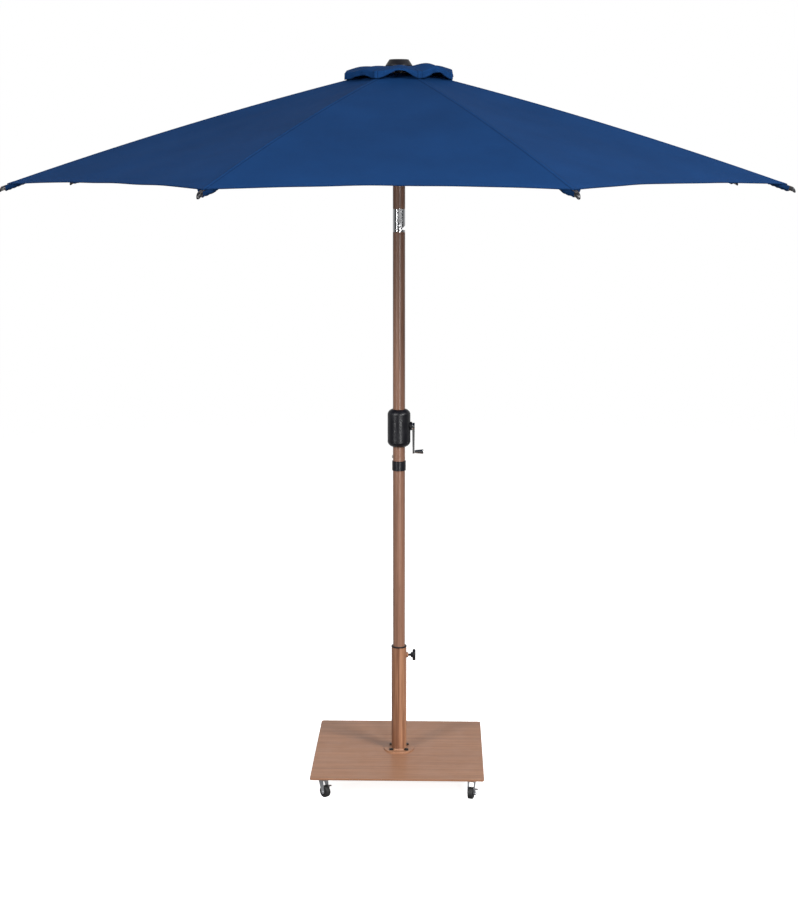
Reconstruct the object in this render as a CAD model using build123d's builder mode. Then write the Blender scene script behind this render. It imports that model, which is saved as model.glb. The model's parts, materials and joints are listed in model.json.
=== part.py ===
from build123d import *
import os
from math import atan2, cos, degrees, hypot, radians, sin, tan

# Crank-lift patio umbrella with a button tilt, standing in a square base on four casters.
# Millimetres, +Z up, front towards -Y, crank and clamp knob towards +X.
# The origin is on the floor, under the axis of the pole.

os.makedirs("parts", exist_ok=True)

# ---- driving dimensions -------------------------------------------------
# canopy: the ridge over a rib falls as z = CROWN_Z - FALL * r - BEND * r * r
RIB_COUNT = 8
CROWN_Z = 2329.0
FALL = 0.24
BEND = 4.15e-5
CORNER_R = 1250.0  # hem corner, out from the pole axis
TIP_R = 1265.0  # end of a rib
THROAT_R = 90.0  # the main canopy's vent hole
FABRIC = 1.0
HEM_ARCH = 27.0  # how far the hem bows in between two corners
SEAM_GAP = 0.3
VENT_IN_R = 49.0
VENT_OUT_R = 185.0
VENT_TOP_Z = 2330.5
VENT_EDGE_Z = 2307.0
VENT_FLAP = 17.0

# folding frame: rib and strut are the two equal legs of an isosceles triangle
HUB_PIVOT_R = 35.0
RIB_DEPTH = 13.0
RIB_WIDTH = 10.0
RIB_DROP = 8.5  # rib centre line below the fabric
KNEE_R = 515.0
KNEE_DROP = 14.0  # knee pivot below the rib's centre line
STRUT_DEPTH = 10.0
STRUT_WIDTH = 6.0
EAR_R = 6.5  # the rib's ears round the knee pivot
PIN_R = 2.0
RUNNING = 0.1  # radial clearance of a pin in its bore

# poles
POLE_R = 20.0
POLE_WALL = 1.6
LOWER_POLE_Z = (76.0, 1031.0)
MIDDLE_POLE_Z = (1031.5, 1798.8)
UPPER_POLE_Z = (1874.3, 2298.0)
COUPLING_R = 22.5
COUPLING_Z = (1015.0, 1047.0)
SPIGOT_R = 18.1
SPIGOT_WALL = 1.8
SPIGOT_Z = (940.0, 1120.0)
SNAP_Z = 1060.0
SNAP_R = 4.0
SNAP_X = (-23.4, -14.0)  # tip and root of the pin
LEAF = (8.0, 34.0, 1.2)  # width, length and thickness of its spring

# crank
CRANK_Z = 1162.0
CASE_R = 37.5
CASE_Z = (1095.0, 1218.0)
CASE_WALL = 2.5
CASE_NECK_R = 24.0
CASE_SHOULDER = 15.0
GROOVE = (1.2, 0.7)  # width and depth of the two rings round the case
BOSS_R = 14.0
BOSS_X = 42.9
SHAFT_R = 5.0
SHAFT_X = (-21.0, 50.0)
DRUM_R = 11.5
DRUM_HALF = 8.0
CHEEK_R = 14.0
CHEEK_T = 2.0
ARM_LENGTH = 85.0
ARM_WIDTH = 14.0
ARM_X = (43.6, 51.6)  # at the shaft
ARM_TIP_X = (44.8, 50.8)  # at the grip
ARM_EYE_R = 11.0
GRIP_X = (52.0, 80.0)
GRIP_R = (5.2, 8.0)  # beside the arm and at the free end
AXLE_PIN_R = 3.0

# tilt joint
TILT_Z = 1806.0
TILT_TOP_Z = 1873.8
TILT_YAW = 15.0  # the button faces 15 degrees to the right of the front
TILT_ANGLE = 35.0
SHELL_IN_R = 17.0
SLOT_HALF = 6.0
BUTTON_Z = 1823.0
BUTTON_R = 5.0
PLUG_LENGTH = 32.0  # how far each half goes into its pole

# base
PLATE = 556.0
PLATE_CORNER_R = 8.0
PLATE_Z = (65.0, 71.0)
STEM_R = 25.0
STEM_WALL = 2.0
STEM_TOP_Z = 421.0
FLANGE_R = 50.0
FLANGE_T = 4.5
BOLT_CIRCLE_R = 35.5
BOLT_R = 4.0
BOLT_PLAY = 0.3
BOLT_HEAD_R = 7.2
BOLT_HEAD = 4.5
BOLT_TAIL = 2.0
COLLAR_RIM = 4.0
COLLAR_PLUG = 40.0
COLLAR_PLAY = 0.3
KNOB_Z = 393.0
KNOB_R = 18.5
KNOB_X = (45.0, 55.0)
KNOB_NECK_R = 9.0
KNOB_NECK_X = 39.0
SCREW_R = 4.0
WELD_NUT_R = 9.0
WELD_NUT = 7.0
CASTER_AT = 240.0
WHEEL_R = 18.5
WHEEL_TRAIL = 13.0
# casters as (x sign, y sign, direction the wheel trails in, has a brake)
CASTERS = [(-1, -1, -45.0, True), (1, -1, -105.0, True), (-1, 1, 100.0, False), (1, 1, 60.0, False)]

# ---- worked out from them -----------------------------------------------
PITCH = 360.0 / RIB_COUNT
HALF_PITCH = PITCH / 2
RIB_ANGLES = [HALF_PITCH + PITCH * k for k in range(RIB_COUNT)]
ACROSS = cos(radians(HALF_PITCH))  # from a corner radius to the middle of a panel
POLE_IN_R = POLE_R - POLE_WALL


def canopy_z(r):
    """Height of the canopy's ridge at radius r."""
    return CROWN_Z - FALL * r - BEND * r * r


HUB_PIVOT = (HUB_PIVOT_R, canopy_z(HUB_PIVOT_R) - RIB_DROP)
KNEE = (KNEE_R, canopy_z(KNEE_R) - RIB_DROP - KNEE_DROP)
LEG = hypot(KNEE[0] - HUB_PIVOT[0], HUB_PIVOT[1] - KNEE[1])
RUNNER_PIVOT = (HUB_PIVOT_R, 2 * KNEE[1] - HUB_PIVOT[1])
STEM_IN_R = STEM_R - STEM_WALL


def radial_plane(angle):
    """Upright plane through the pole axis: x runs out from the axis, y runs up."""
    c, s = cos(radians(angle)), sin(radians(angle))
    return Plane(origin=(0, 0, 0), x_dir=(c, s, 0), z_dir=(s, -c, 0))


def ring(r_out, r_in, z_low, z_high):
    """A tube around the pole axis."""
    with BuildPart() as tube:
        with BuildSketch(Plane.XY.offset(z_low)):
            Circle(r_out)
            Circle(r_in, mode=Mode.SUBTRACT)
        extrude(amount=z_high - z_low)
    return tube.part


# ---- base ---------------------------------------------------------------
with BuildPart() as base_plate:
    with BuildSketch(Plane.XY.offset(PLATE_Z[0])):
        RectangleRounded(PLATE, PLATE, PLATE_CORNER_R)
        with PolarLocations(BOLT_CIRCLE_R, 4, start_angle=45):
            Circle(BOLT_R + BOLT_PLAY, mode=Mode.SUBTRACT)
    extrude(amount=PLATE_Z[1] - PLATE_Z[0])
    chamfer(base_plate.faces().sort_by(Axis.Z)[-1].outer_wire().edges(), 0.8)
base_plate.part.label = "base_plate"
export_step(base_plate.part, "parts/base_plate.step")

with BuildPart() as stem_flange:
    with BuildSketch(Plane.XY.offset(PLATE_Z[1])):
        Circle(FLANGE_R)
        Circle(STEM_R + 0.1, mode=Mode.SUBTRACT)
        with PolarLocations(BOLT_CIRCLE_R, 4, start_angle=45):
            Circle(BOLT_R + BOLT_PLAY, mode=Mode.SUBTRACT)
    extrude(amount=FLANGE_T)
    chamfer(stem_flange.faces().sort_by(Axis.Z)[-1].outer_wire().edges(), 1.2)
stem_flange.part.label = "stem_flange"
export_step(stem_flange.part, "parts/stem_flange.step")

FLANGE_TOP_Z = PLATE_Z[1] + FLANGE_T
with BuildPart() as flange_bolts:
    with BuildSketch(Plane.XY.offset(PLATE_Z[0] - BOLT_TAIL)):
        with PolarLocations(BOLT_CIRCLE_R, 4, start_angle=45):
            Circle(BOLT_R)
    extrude(amount=FLANGE_TOP_Z - PLATE_Z[0] + BOLT_TAIL)
    with BuildSketch(Plane.XY.offset(FLANGE_TOP_Z)):
        with PolarLocations(BOLT_CIRCLE_R, 4, start_angle=45):
            RegularPolygon(BOLT_HEAD_R, 6)
    extrude(amount=BOLT_HEAD)
flange_bolts.part.label = "flange_bolts"
export_step(flange_bolts.part, "parts/flange_bolts.step")

# the stem, with the welded nut that the clamp knob screws into
WELD_SINK = 1.4
with BuildPart() as stem_tube:
    add(ring(STEM_R, STEM_IN_R, PLATE_Z[1], STEM_TOP_Z))
    with BuildSketch(Plane.YZ.offset(STEM_R - WELD_SINK)):
        with Locations((0, KNOB_Z)):
            RegularPolygon(WELD_NUT_R, 6)
    extrude(amount=WELD_NUT)
    with BuildSketch(Plane.YZ.offset(STEM_IN_R - STEM_WALL)):
        with Locations((0, KNOB_Z)):
            Circle(SCREW_R + RUNNING)
    extrude(amount=WELD_NUT + 2 * STEM_WALL + 1, mode=Mode.SUBTRACT)
stem_tube.part.label = "stem_tube"
export_step(stem_tube.part, "parts/stem_tube.step")

# plastic reducer that centres the pole in the stem
with BuildPart() as stem_collar:
    add(ring(STEM_R + 0.6, POLE_R + COLLAR_PLAY, STEM_TOP_Z, STEM_TOP_Z + COLLAR_RIM))
    fillet(stem_collar.edges().group_by(Axis.Z)[-1].sort_by(SortBy.LENGTH)[-1], 1.5)
    add(ring(STEM_IN_R - RUNNING, POLE_R + COLLAR_PLAY, STEM_TOP_Z - COLLAR_PLUG, STEM_TOP_Z))
    with BuildSketch(Plane.YZ.offset(POLE_R)):
        with Locations((0, KNOB_Z)):
            Circle(SCREW_R + 0.6)
    extrude(amount=STEM_R - POLE_R, mode=Mode.SUBTRACT)
stem_collar.part.label = "stem_collar"
export_step(stem_collar.part, "parts/stem_collar.step")

# clamp knob: grip disc with eight finger scallops, moulded on its screw
SCREW_TIP_X = POLE_R + 0.4
SCALLOP_R = 4.0
SCALLOP_OUT = 2.2
with BuildPart() as clamp_knob:
    with BuildSketch(Plane.YZ.offset(SCREW_TIP_X)):
        with Locations((0, KNOB_Z)):
            Circle(SCREW_R)
    extrude(amount=KNOB_NECK_X + 3 - SCREW_TIP_X)
    with BuildSketch(Plane.YZ.offset(KNOB_NECK_X)):
        with Locations((0, KNOB_Z)):
            Circle(KNOB_NECK_R)
    extrude(amount=KNOB_X[0] + 1 - KNOB_NECK_X)
    with BuildSketch(Plane.YZ.offset(KNOB_X[0])):
        with Locations((0, KNOB_Z)):
            Circle(KNOB_R)
            with PolarLocations(KNOB_R + SCALLOP_OUT, 8):
                Circle(SCALLOP_R, mode=Mode.SUBTRACT)
    extrude(amount=KNOB_X[1] - KNOB_X[0])
    fillet(clamp_knob.faces().sort_by(Axis.X)[-1].edges(), 1.8)
clamp_knob.part.label = "clamp_knob"
export_step(clamp_knob.part, "parts/clamp_knob.step")

# ---- casters ------------------------------------------------------------


def caster_planes(x_sign, y_sign, trail):
    """The caster's level plane, x in the trailing direction, and its upright plane through the wheel."""
    c, s = cos(radians(trail)), sin(radians(trail))
    at = (x_sign * CASTER_AT, y_sign * CASTER_AT, 0)
    level = Plane(origin=at, x_dir=(c, s, 0), z_dir=(0, 0, 1))
    upright = Plane(origin=at, x_dir=(c, s, 0), z_dir=(s, -c, 0))
    return level, upright


MOUNT = 44.0
MOUNT_T = 2.0
RACE_R = 12.0  # the swivel race under the mount
RACE_Z = 58.0
KING_PIN_R = 3.0
KING_PIN_Z = 52.0
RIVET_R = 6.0
YOKE_Z = (54.0, 57.0)  # the fork's top
YOKE_R = 13.0
LEG_IN = 9.2  # fork leg, inner face from the wheel's mid plane
LEG_T = 2.0
LEG_EYE_R = 6.2
AXLE_R = 2.5
AXLE_END = (-18.5, 12.5)
NUT_R = 4.6
NUT_AT = (-17.6, -14.6)
WHEEL_HALF = 8.0
DISH_R = (12.0, 6.0)  # ring sunk in each side of the wheel
DISH_DEPTH = 1.4
LEVER_IN = 12.2
LEVER_T = 1.8
TAB_END = 23.0
WHEEL_AT = (WHEEL_TRAIL, WHEEL_R)

with BuildPart() as caster_mounts:
    for x_sign, y_sign, trail, brake in CASTERS:
        level = caster_planes(x_sign, y_sign, trail)[0]
        square = caster_planes(x_sign, y_sign, 0)[0]
        with BuildSketch(square.offset(PLATE_Z[0] - MOUNT_T)):
            RectangleRounded(MOUNT, MOUNT, 5)
        extrude(amount=MOUNT_T)
        with BuildSketch(level.offset(RACE_Z)):
            Circle(RACE_R)
        extrude(amount=PLATE_Z[0] - MOUNT_T - RACE_Z)
        with BuildSketch(level.offset(KING_PIN_Z)):
            Circle(KING_PIN_R)
        extrude(amount=RACE_Z - KING_PIN_Z)
        with BuildSketch(level.offset(KING_PIN_Z - 1.5)):
            Circle(RIVET_R)
        extrude(amount=YOKE_Z[0] - KING_PIN_Z + 1)
caster_mounts.part.label = "caster_mounts"
export_step(caster_mounts.part, "parts/caster_mounts.step")

for number, (x_sign, y_sign, trail, brake) in enumerate(CASTERS, 1):
    level, upright = caster_planes(x_sign, y_sign, trail)

    # pressed fork with the axle bolt and its nut
    with BuildPart() as fork:
        with BuildSketch(level.offset(YOKE_Z[0])):
            Circle(YOKE_R)
            with Locations((4, 0)):
                Rectangle(22, 2 * (LEG_IN + LEG_T))
        extrude(amount=YOKE_Z[1] - YOKE_Z[0])
        for side in (-1, 1):
            low = LEG_IN if side > 0 else -LEG_IN - LEG_T
            with BuildSketch(upright.offset(low)):
                with BuildLine():
                    Polyline((-7, 57), (15, 57), (19, 21), (17, 14), (9, 14), (7, 20), close=True)
                make_face()
                with Locations(WHEEL_AT):
                    Circle(LEG_EYE_R)
            extrude(amount=LEG_T)
        with BuildSketch(upright.offset(AXLE_END[0])):
            with Locations(WHEEL_AT):
                Circle(AXLE_R)
        extrude(amount=AXLE_END[1] - AXLE_END[0])
        with BuildSketch(upright.offset(NUT_AT[0])):
            with Locations(WHEEL_AT):
                RegularPolygon(NUT_R, 6)
        extrude(amount=NUT_AT[1] - NUT_AT[0])
        with BuildSketch(level.offset(YOKE_Z[0] - 1)):
            Circle(KING_PIN_R + 0.2)
        extrude(amount=YOKE_Z[1] - YOKE_Z[0] + 2, mode=Mode.SUBTRACT)
    fork.part.label = f"caster_fork_{number}"
    export_step(fork.part, f"parts/caster_fork_{number}.step")

    with BuildPart() as wheel:
        with BuildSketch(upright):
            with Locations(WHEEL_AT):
                Circle(WHEEL_R)
        extrude(amount=WHEEL_HALF, both=True)
        fillet(wheel.edges(), 2.5)
        for side in (-WHEEL_HALF, WHEEL_HALF - DISH_DEPTH):
            with BuildSketch(upright.offset(side)):
                with Locations(WHEEL_AT):
                    Circle(DISH_R[0])
                    Circle(DISH_R[1], mode=Mode.SUBTRACT)
            extrude(amount=DISH_DEPTH, mode=Mode.SUBTRACT)
        with BuildSketch(upright):
            with Locations(WHEEL_AT):
                Circle(AXLE_R + RUNNING)
        extrude(amount=WHEEL_HALF, both=True, mode=Mode.SUBTRACT)
    wheel.part.label = f"caster_wheel_{number}"
    export_step(wheel.part, f"parts/caster_wheel_{number}.step")

    if brake:
        # side lever on the axle, its tab bent out for the toe
        with BuildPart() as lever:
            with BuildSketch(upright.offset(-LEVER_IN - LEVER_T)):
                with BuildLine():
                    Polyline((9, 20), (11, 34), (20, 34), (18, 18), close=True)
                make_face()
                with Locations(WHEEL_AT):
                    Circle(RIVET_R)
                    Circle(AXLE_R + RUNNING, mode=Mode.SUBTRACT)
            extrude(amount=LEVER_T)
            with BuildSketch(upright.offset(-TAB_END)):
                with Locations((15.5, 33)):
                    Rectangle(9, 2)
            extrude(amount=TAB_END - LEVER_IN)
        lever.part.label = f"brake_lever_{number}"
        export_step(lever.part, f"parts/brake_lever_{number}.step")

# ---- poles --------------------------------------------------------------
with BuildPart() as lower_pole:
    add(ring(POLE_R, POLE_IN_R, *LOWER_POLE_Z))
lower_pole.part.label = "lower_pole"
export_step(lower_pole.part, "parts/lower_pole.step")

with BuildPart() as joint_spigot:
    add(ring(SPIGOT_R, SPIGOT_R - SPIGOT_WALL, *SPIGOT_Z))
    with BuildSketch(Plane.YZ.offset(-POLE_R)):
        with Locations((0, SNAP_Z)):
            Circle(SNAP_R + RUNNING)
    extrude(amount=POLE_R, mode=Mode.SUBTRACT)
joint_spigot.part.label = "joint_spigot"
export_step(joint_spigot.part, "parts/joint_spigot.step")

with BuildPart() as pole_coupling:
    add(ring(COUPLING_R, POLE_R + 0.15, *COUPLING_Z))
    outer = pole_coupling.edges().filter_by(GeomType.CIRCLE).filter_by(lambda e: e.radius > POLE_R + 1)
    chamfer(outer, 1)
pole_coupling.part.label = "pole_coupling"
export_step(pole_coupling.part, "parts/pole_coupling.step")

# spring pin on its leaf, seated inside the spigot
with BuildPart() as snap_button:
    with BuildSketch(Plane.YZ.offset(SNAP_X[0])):
        with Locations((0, SNAP_Z)):
            Circle(SNAP_R)
    extrude(amount=SNAP_X[1] - SNAP_X[0])
    fillet(snap_button.edges().sort_by(Axis.X)[0], 1.8)
    with BuildSketch(Plane.YZ.offset(SNAP_X[1] - LEAF[2] / 2)):
        with Locations((0, SNAP_Z - LEAF[1] / 2 + SNAP_R + 1)):
            Rectangle(LEAF[0], LEAF[1])
    extrude(amount=LEAF[2])
snap_button.part.label = "snap_button"
export_step(snap_button.part, "parts/snap_button.step")

with BuildPart() as middle_pole:
    add(ring(POLE_R, POLE_IN_R, *MIDDLE_POLE_Z))
    with BuildSketch(Plane.YZ.offset(-POLE_R - 1)):
        with Locations((0, SNAP_Z)):
            Circle(SNAP_R + 0.3)
    extrude(amount=POLE_R, mode=Mode.SUBTRACT)
    with BuildSketch(Plane.YZ.offset(-POLE_R - 1)):
        with Locations((0, CRANK_Z)):
            Circle(SHAFT_R + 0.4)
    extrude(amount=2 * POLE_R + 2, mode=Mode.SUBTRACT)
middle_pole.part.label = "middle_pole"
export_step(middle_pole.part, "parts/middle_pole.step")

# ---- crank --------------------------------------------------------------


def crank_case(inset):
    """The whole case: a round-shouldered shell around the pole, with the crank's bearing boss."""
    low, high = CASE_Z
    with BuildPart() as case:
        for outline, shrink in ((Mode.ADD, 0.0), (Mode.SUBTRACT, CASE_WALL)):
            r, neck = CASE_R - shrink, CASE_NECK_R - shrink
            bottom, top = low + shrink, high - shrink
            bend = CASE_SHOULDER - shrink / 2
            with BuildSketch(Plane.XZ):
                with BuildLine():
                    Line((0, bottom), (neck, bottom))
                    TangentArc((neck, bottom), (r, bottom + bend), tangent=(1, 0.35))
                    Line((r, bottom + bend), (r, top - bend))
                    TangentArc((neck, top), (r, top - bend), tangent=(1, -0.35))
                    Line((neck, top), (0, top))
                    Line((0, top), (0, bottom))
                make_face()
            revolve(axis=Axis.Z, mode=outline)
        for z in (low + CASE_SHOULDER + 4, high - CASE_SHOULDER - 4):
            with BuildSketch(Plane.XY.offset(z - GROOVE[0] / 2)):
                Circle(CASE_R + 1)
                Circle(CASE_R - GROOVE[1], mode=Mode.SUBTRACT)
            extrude(amount=GROOVE[0], mode=Mode.SUBTRACT)
        boss_foot = CASE_R - CASE_WALL - 0.5
        with BuildSketch(Plane.YZ.offset(boss_foot)):
            with Locations((0, CRANK_Z)):
                Circle(BOSS_R)
        extrude(amount=BOSS_X - boss_foot)
        with BuildSketch(Plane.YZ.offset(0)):
            with Locations((0, CRANK_Z)):
                Circle(SHAFT_R + 0.6)
        extrude(amount=BOSS_X + 1, mode=Mode.SUBTRACT)
        with BuildSketch(Plane.XY.offset(low - 1)):
            Circle(POLE_R + 0.2)
        extrude(amount=high - low + 2, mode=Mode.SUBTRACT)
        keep = Keep.TOP if inset > 0 else Keep.BOTTOM
        split(bisect_by=Plane.XZ.offset(inset), keep=keep)
    return case.part


with BuildPart() as crank_case_front:
    add(crank_case(0.1))
crank_case_front.part.label = "crank_case_front"
export_step(crank_case_front.part, "parts/crank_case_front.step")

with BuildPart() as crank_case_back:
    add(crank_case(-0.1))
crank_case_back.part.label = "crank_case_back"
export_step(crank_case_back.part, "parts/crank_case_back.step")

# the winding drum and its shaft, across the inside of the pole
with BuildPart() as crank_spool:
    for r, x_low, x_high in (
        (SHAFT_R, *SHAFT_X),
        (DRUM_R, -DRUM_HALF, DRUM_HALF),
        (CHEEK_R, -DRUM_HALF - CHEEK_T, -DRUM_HALF),
        (CHEEK_R, DRUM_HALF, DRUM_HALF + CHEEK_T),
    ):
        with BuildSketch(Plane.YZ.offset(x_low)):
            with Locations((0, CRANK_Z)):
                Circle(r)
        extrude(amount=x_high - x_low)
crank_spool.part.label = "crank_spool"
export_step(crank_spool.part, "parts/crank_spool.step")

# cast arm, thicker at its eye than at the grip
GRIP_Z = CRANK_Z - ARM_LENGTH
with BuildPart() as crank_arm:
    with BuildSketch(Plane.YZ.offset(ARM_X[0])):
        with Locations((0, CRANK_Z - ARM_LENGTH / 2)):
            SlotCenterToCenter(ARM_LENGTH, ARM_WIDTH, rotation=90)
        with Locations((0, CRANK_Z)):
            Circle(ARM_EYE_R)
    extrude(amount=ARM_X[1] - ARM_X[0])
    with BuildSketch(Plane.XZ):
        with BuildLine():
            Polyline(
                (ARM_X[0], CRANK_Z + ARM_EYE_R),
                (ARM_X[1], CRANK_Z + ARM_EYE_R),
                (ARM_X[1], CRANK_Z - ARM_EYE_R),
                (ARM_TIP_X[1], GRIP_Z),
                (ARM_TIP_X[1], GRIP_Z - ARM_WIDTH / 2),
                (ARM_TIP_X[0], GRIP_Z - ARM_WIDTH / 2),
                (ARM_X[0], CRANK_Z - ARM_EYE_R),
                close=True,
            )
        make_face()
    extrude(amount=ARM_EYE_R, both=True, mode=Mode.INTERSECT)
    with BuildSketch(Plane.YZ.offset(ARM_X[0] - 1)):
        with Locations((0, CRANK_Z)):
            Circle(SHAFT_R + 0.05)
    extrude(amount=SHAFT_X[1] - ARM_X[0] + 1.1, mode=Mode.SUBTRACT)
    with BuildSketch(Plane.YZ.offset(ARM_TIP_X[1] - 1)):
        with Locations((0, GRIP_Z)):
            Circle(AXLE_PIN_R)
    extrude(amount=GRIP_X[1] - 2 - ARM_TIP_X[1] + 1)
crank_arm.part.label = "crank_arm"
export_step(crank_arm.part, "parts/crank_arm.step")

with BuildPart() as crank_grip:
    with BuildSketch(Plane.XZ):
        with BuildLine():
            Polyline(
                (GRIP_X[0], GRIP_Z),
                (GRIP_X[0], GRIP_Z + GRIP_R[0]),
                (GRIP_X[1], GRIP_Z + GRIP_R[1]),
                (GRIP_X[1], GRIP_Z),
                close=True,
            )
        make_face()
    revolve(axis=Axis((0, 0, GRIP_Z), (1, 0, 0)))
    fillet(crank_grip.edges().filter_by(GeomType.CIRCLE), 1.6)
    with BuildSketch(Plane.YZ.offset(GRIP_X[0])):
        with Locations((0, GRIP_Z)):
            Circle(AXLE_PIN_R + RUNNING)
    extrude(amount=GRIP_X[1] - GRIP_X[0] - 1.5, mode=Mode.SUBTRACT)
crank_grip.part.label = "crank_grip"
export_step(crank_grip.part, "parts/crank_grip.step")

# ---- tilt joint ---------------------------------------------------------
# Its own axes: x towards the side that the canopy leans to, y along the pivot pin.
tilt_cos, tilt_sin = cos(radians(TILT_YAW)), sin(radians(TILT_YAW))
TILT_LEVEL = Plane(origin=(0, 0, 0), x_dir=(tilt_cos, tilt_sin, 0), z_dir=(0, 0, 1))
TILT_SIDE = Plane(origin=(0, 0, 0), x_dir=(tilt_cos, tilt_sin, 0), z_dir=(tilt_sin, -tilt_cos, 0))
RING_TOP_Z = TILT_Z - 1
EAR_TOP_Z = TILT_Z + 6
TILT_PIN_R = 2.95
KNUCKLE_R = 8.0
KNUCKLE_HALF = 13.0
CORE_HALF = 15.8  # flats of the moving core, inside the ears
PLUG_R = POLE_IN_R - 0.2
PLUG_BORE_R = (14.0, 8.0)
SOCKET_Z = TILT_Z - 7
EAR_WIDTH = 10.0
CORE_Z = TILT_Z + 1
UNDERCUT = TILT_ANGLE + 1.5  # the core is cut back by a little more than it leans
UNDERCUT_X = 30.0
BUTTON_OUT = (12.0, 20.9)
PIN_HEAD_R = 4.0
PIN_HEAD = 1.2

# fixed half: plug in the middle pole, bottom ring, two ears, and the shell on the far side
with BuildPart() as tilt_socket:
    add(ring(PLUG_R, PLUG_BORE_R[0], SOCKET_Z - PLUG_LENGTH, SOCKET_Z))
    add(ring(POLE_R, SHELL_IN_R, SOCKET_Z, RING_TOP_Z))
    with BuildSketch(TILT_LEVEL.offset(RING_TOP_Z)):
        Circle(POLE_R)
        Circle(SHELL_IN_R, mode=Mode.SUBTRACT)
        Rectangle(EAR_WIDTH, 2 * POLE_R, mode=Mode.INTERSECT)
    extrude(amount=EAR_TOP_Z - RING_TOP_Z)
    with BuildSketch(TILT_LEVEL.offset(RING_TOP_Z)):
        Circle(POLE_R)
        Circle(SHELL_IN_R, mode=Mode.SUBTRACT)
        with Locations((-SLOT_HALF - POLE_R / 2, 0)):
            Rectangle(POLE_R, 2 * POLE_R, mode=Mode.INTERSECT)
    extrude(amount=TILT_TOP_Z - RING_TOP_Z)
    with BuildSketch(TILT_SIDE):
        with Locations((0, TILT_Z)):
            Circle(TILT_PIN_R + RUNNING)
    extrude(amount=POLE_R + 1, both=True, mode=Mode.SUBTRACT)
tilt_socket.part.label = "tilt_socket"
export_step(tilt_socket.part, "parts/tilt_socket.step")

# moving half: core with the near shell, cut back under so that it can lean, and its knuckle
with BuildPart() as tilt_core:
    with BuildSketch(TILT_LEVEL.offset(CORE_Z)):
        Circle(SHELL_IN_R - 0.2)
        Rectangle(2 * POLE_R, 2 * CORE_HALF, mode=Mode.INTERSECT)
    extrude(amount=TILT_TOP_Z - CORE_Z)
    with BuildSketch(TILT_LEVEL.offset(CORE_Z)):
        Circle(POLE_R)
        with Locations((SLOT_HALF + POLE_R / 2, 0)):
            Rectangle(POLE_R, 2 * POLE_R, mode=Mode.INTERSECT)
    extrude(amount=TILT_TOP_Z - CORE_Z)
    cut_z = CORE_Z - 0.2
    with BuildSketch(TILT_SIDE):
        with BuildLine():
            Polyline(
                (0, TILT_Z),
                (0, cut_z),
                (UNDERCUT_X, cut_z + UNDERCUT_X * tan(radians(UNDERCUT))),
                (UNDERCUT_X, TILT_Z),
                close=True,
            )
        make_face()
    extrude(amount=POLE_R + 1, both=True, mode=Mode.SUBTRACT)
    with BuildSketch(TILT_SIDE):
        with Locations((0, TILT_Z)):
            Circle(KNUCKLE_R)
    extrude(amount=KNUCKLE_HALF, both=True)
    add(ring(PLUG_R, PLUG_BORE_R[1], TILT_TOP_Z, TILT_TOP_Z + PLUG_LENGTH))
    with BuildSketch(TILT_SIDE):
        with Locations((0, TILT_Z)):
            Circle(TILT_PIN_R + RUNNING)
    extrude(amount=POLE_R + 1, both=True, mode=Mode.SUBTRACT)
    with BuildSketch(TILT_SIDE.offset(BUTTON_OUT[0] - 4.1)):
        with Locations((0, BUTTON_Z)):
            Circle(BUTTON_R + RUNNING)
    extrude(amount=POLE_R, mode=Mode.SUBTRACT)
tilt_core.part.label = "tilt_core"
export_step(tilt_core.part, "parts/tilt_core.step")

with BuildPart() as tilt_button:
    with BuildSketch(TILT_SIDE.offset(BUTTON_OUT[0])):
        with Locations((0, BUTTON_Z)):
            Circle(BUTTON_R)
    extrude(amount=BUTTON_OUT[1] - BUTTON_OUT[0])
    fillet(tilt_button.faces().sort_by(Axis.Y)[0].edges(), 1.2)
tilt_button.part.label = "tilt_button"
export_step(tilt_button.part, "parts/tilt_button.step")

with BuildPart() as tilt_pin:
    with BuildSketch(TILT_SIDE):
        with Locations((0, TILT_Z)):
            Circle(TILT_PIN_R)
    extrude(amount=POLE_R + 0.5, both=True)
    for low in (POLE_R + 0.05, -POLE_R - 0.05 - PIN_HEAD):
        with BuildSketch(TILT_SIDE.offset(low)):
            with Locations((0, TILT_Z)):
                Circle(PIN_HEAD_R)
        extrude(amount=PIN_HEAD)
tilt_pin.part.label = "tilt_pin"
export_step(tilt_pin.part, "parts/tilt_pin.step")

# ---- top pole, hub, cap and runner --------------------------------------
with BuildPart() as upper_pole:
    add(ring(POLE_R, POLE_IN_R, *UPPER_POLE_Z))
upper_pole.part.label = "upper_pole"
export_step(upper_pole.part, "parts/upper_pole.step")

# notched hub: cup over the pole, crown of slots, and a short pin across each slot
HUB_SLOT = RIB_WIDTH + 0.8
HUB_R = 44.0
HUB_FLOOR_R = 27.5  # how far the slots go in
HUB_SKIRT = (26.0, 2262.0)  # radius and foot of the cup
SEAT_Z = 2329.0
PIN_SEAT = 2.0
with BuildPart() as top_hub:
    with BuildSketch(Plane.XZ):
        with BuildLine():
            Polyline(
                (6.1, 2300),
                (20.2, 2300),
                (20.2, HUB_SKIRT[1]),
                HUB_SKIRT,
                (HUB_SKIRT[0], 2304),
                (HUB_R, 2304),
                (HUB_R, 2317.5),
                (24, 2319),
                (20, SEAT_Z),
                (6.1, SEAT_Z),
                close=True,
            )
        make_face()
    revolve(axis=Axis.Z)
    for angle in RIB_ANGLES:
        with BuildSketch(radial_plane(angle)):
            with Locations((HUB_FLOOR_R, HUB_PIVOT[1])):
                Rectangle(HUB_R, RIB_DEPTH + 17, align=(Align.MIN, Align.CENTER))
        extrude(amount=HUB_SLOT / 2, both=True, mode=Mode.SUBTRACT)
    for angle in RIB_ANGLES:
        with BuildSketch(radial_plane(angle)):
            with Locations(HUB_PIVOT):
                Circle(PIN_R)
        extrude(amount=HUB_SLOT / 2 + PIN_SEAT, both=True)
top_hub.part.label = "top_hub"
export_step(top_hub.part, "parts/top_hub.step")

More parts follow.
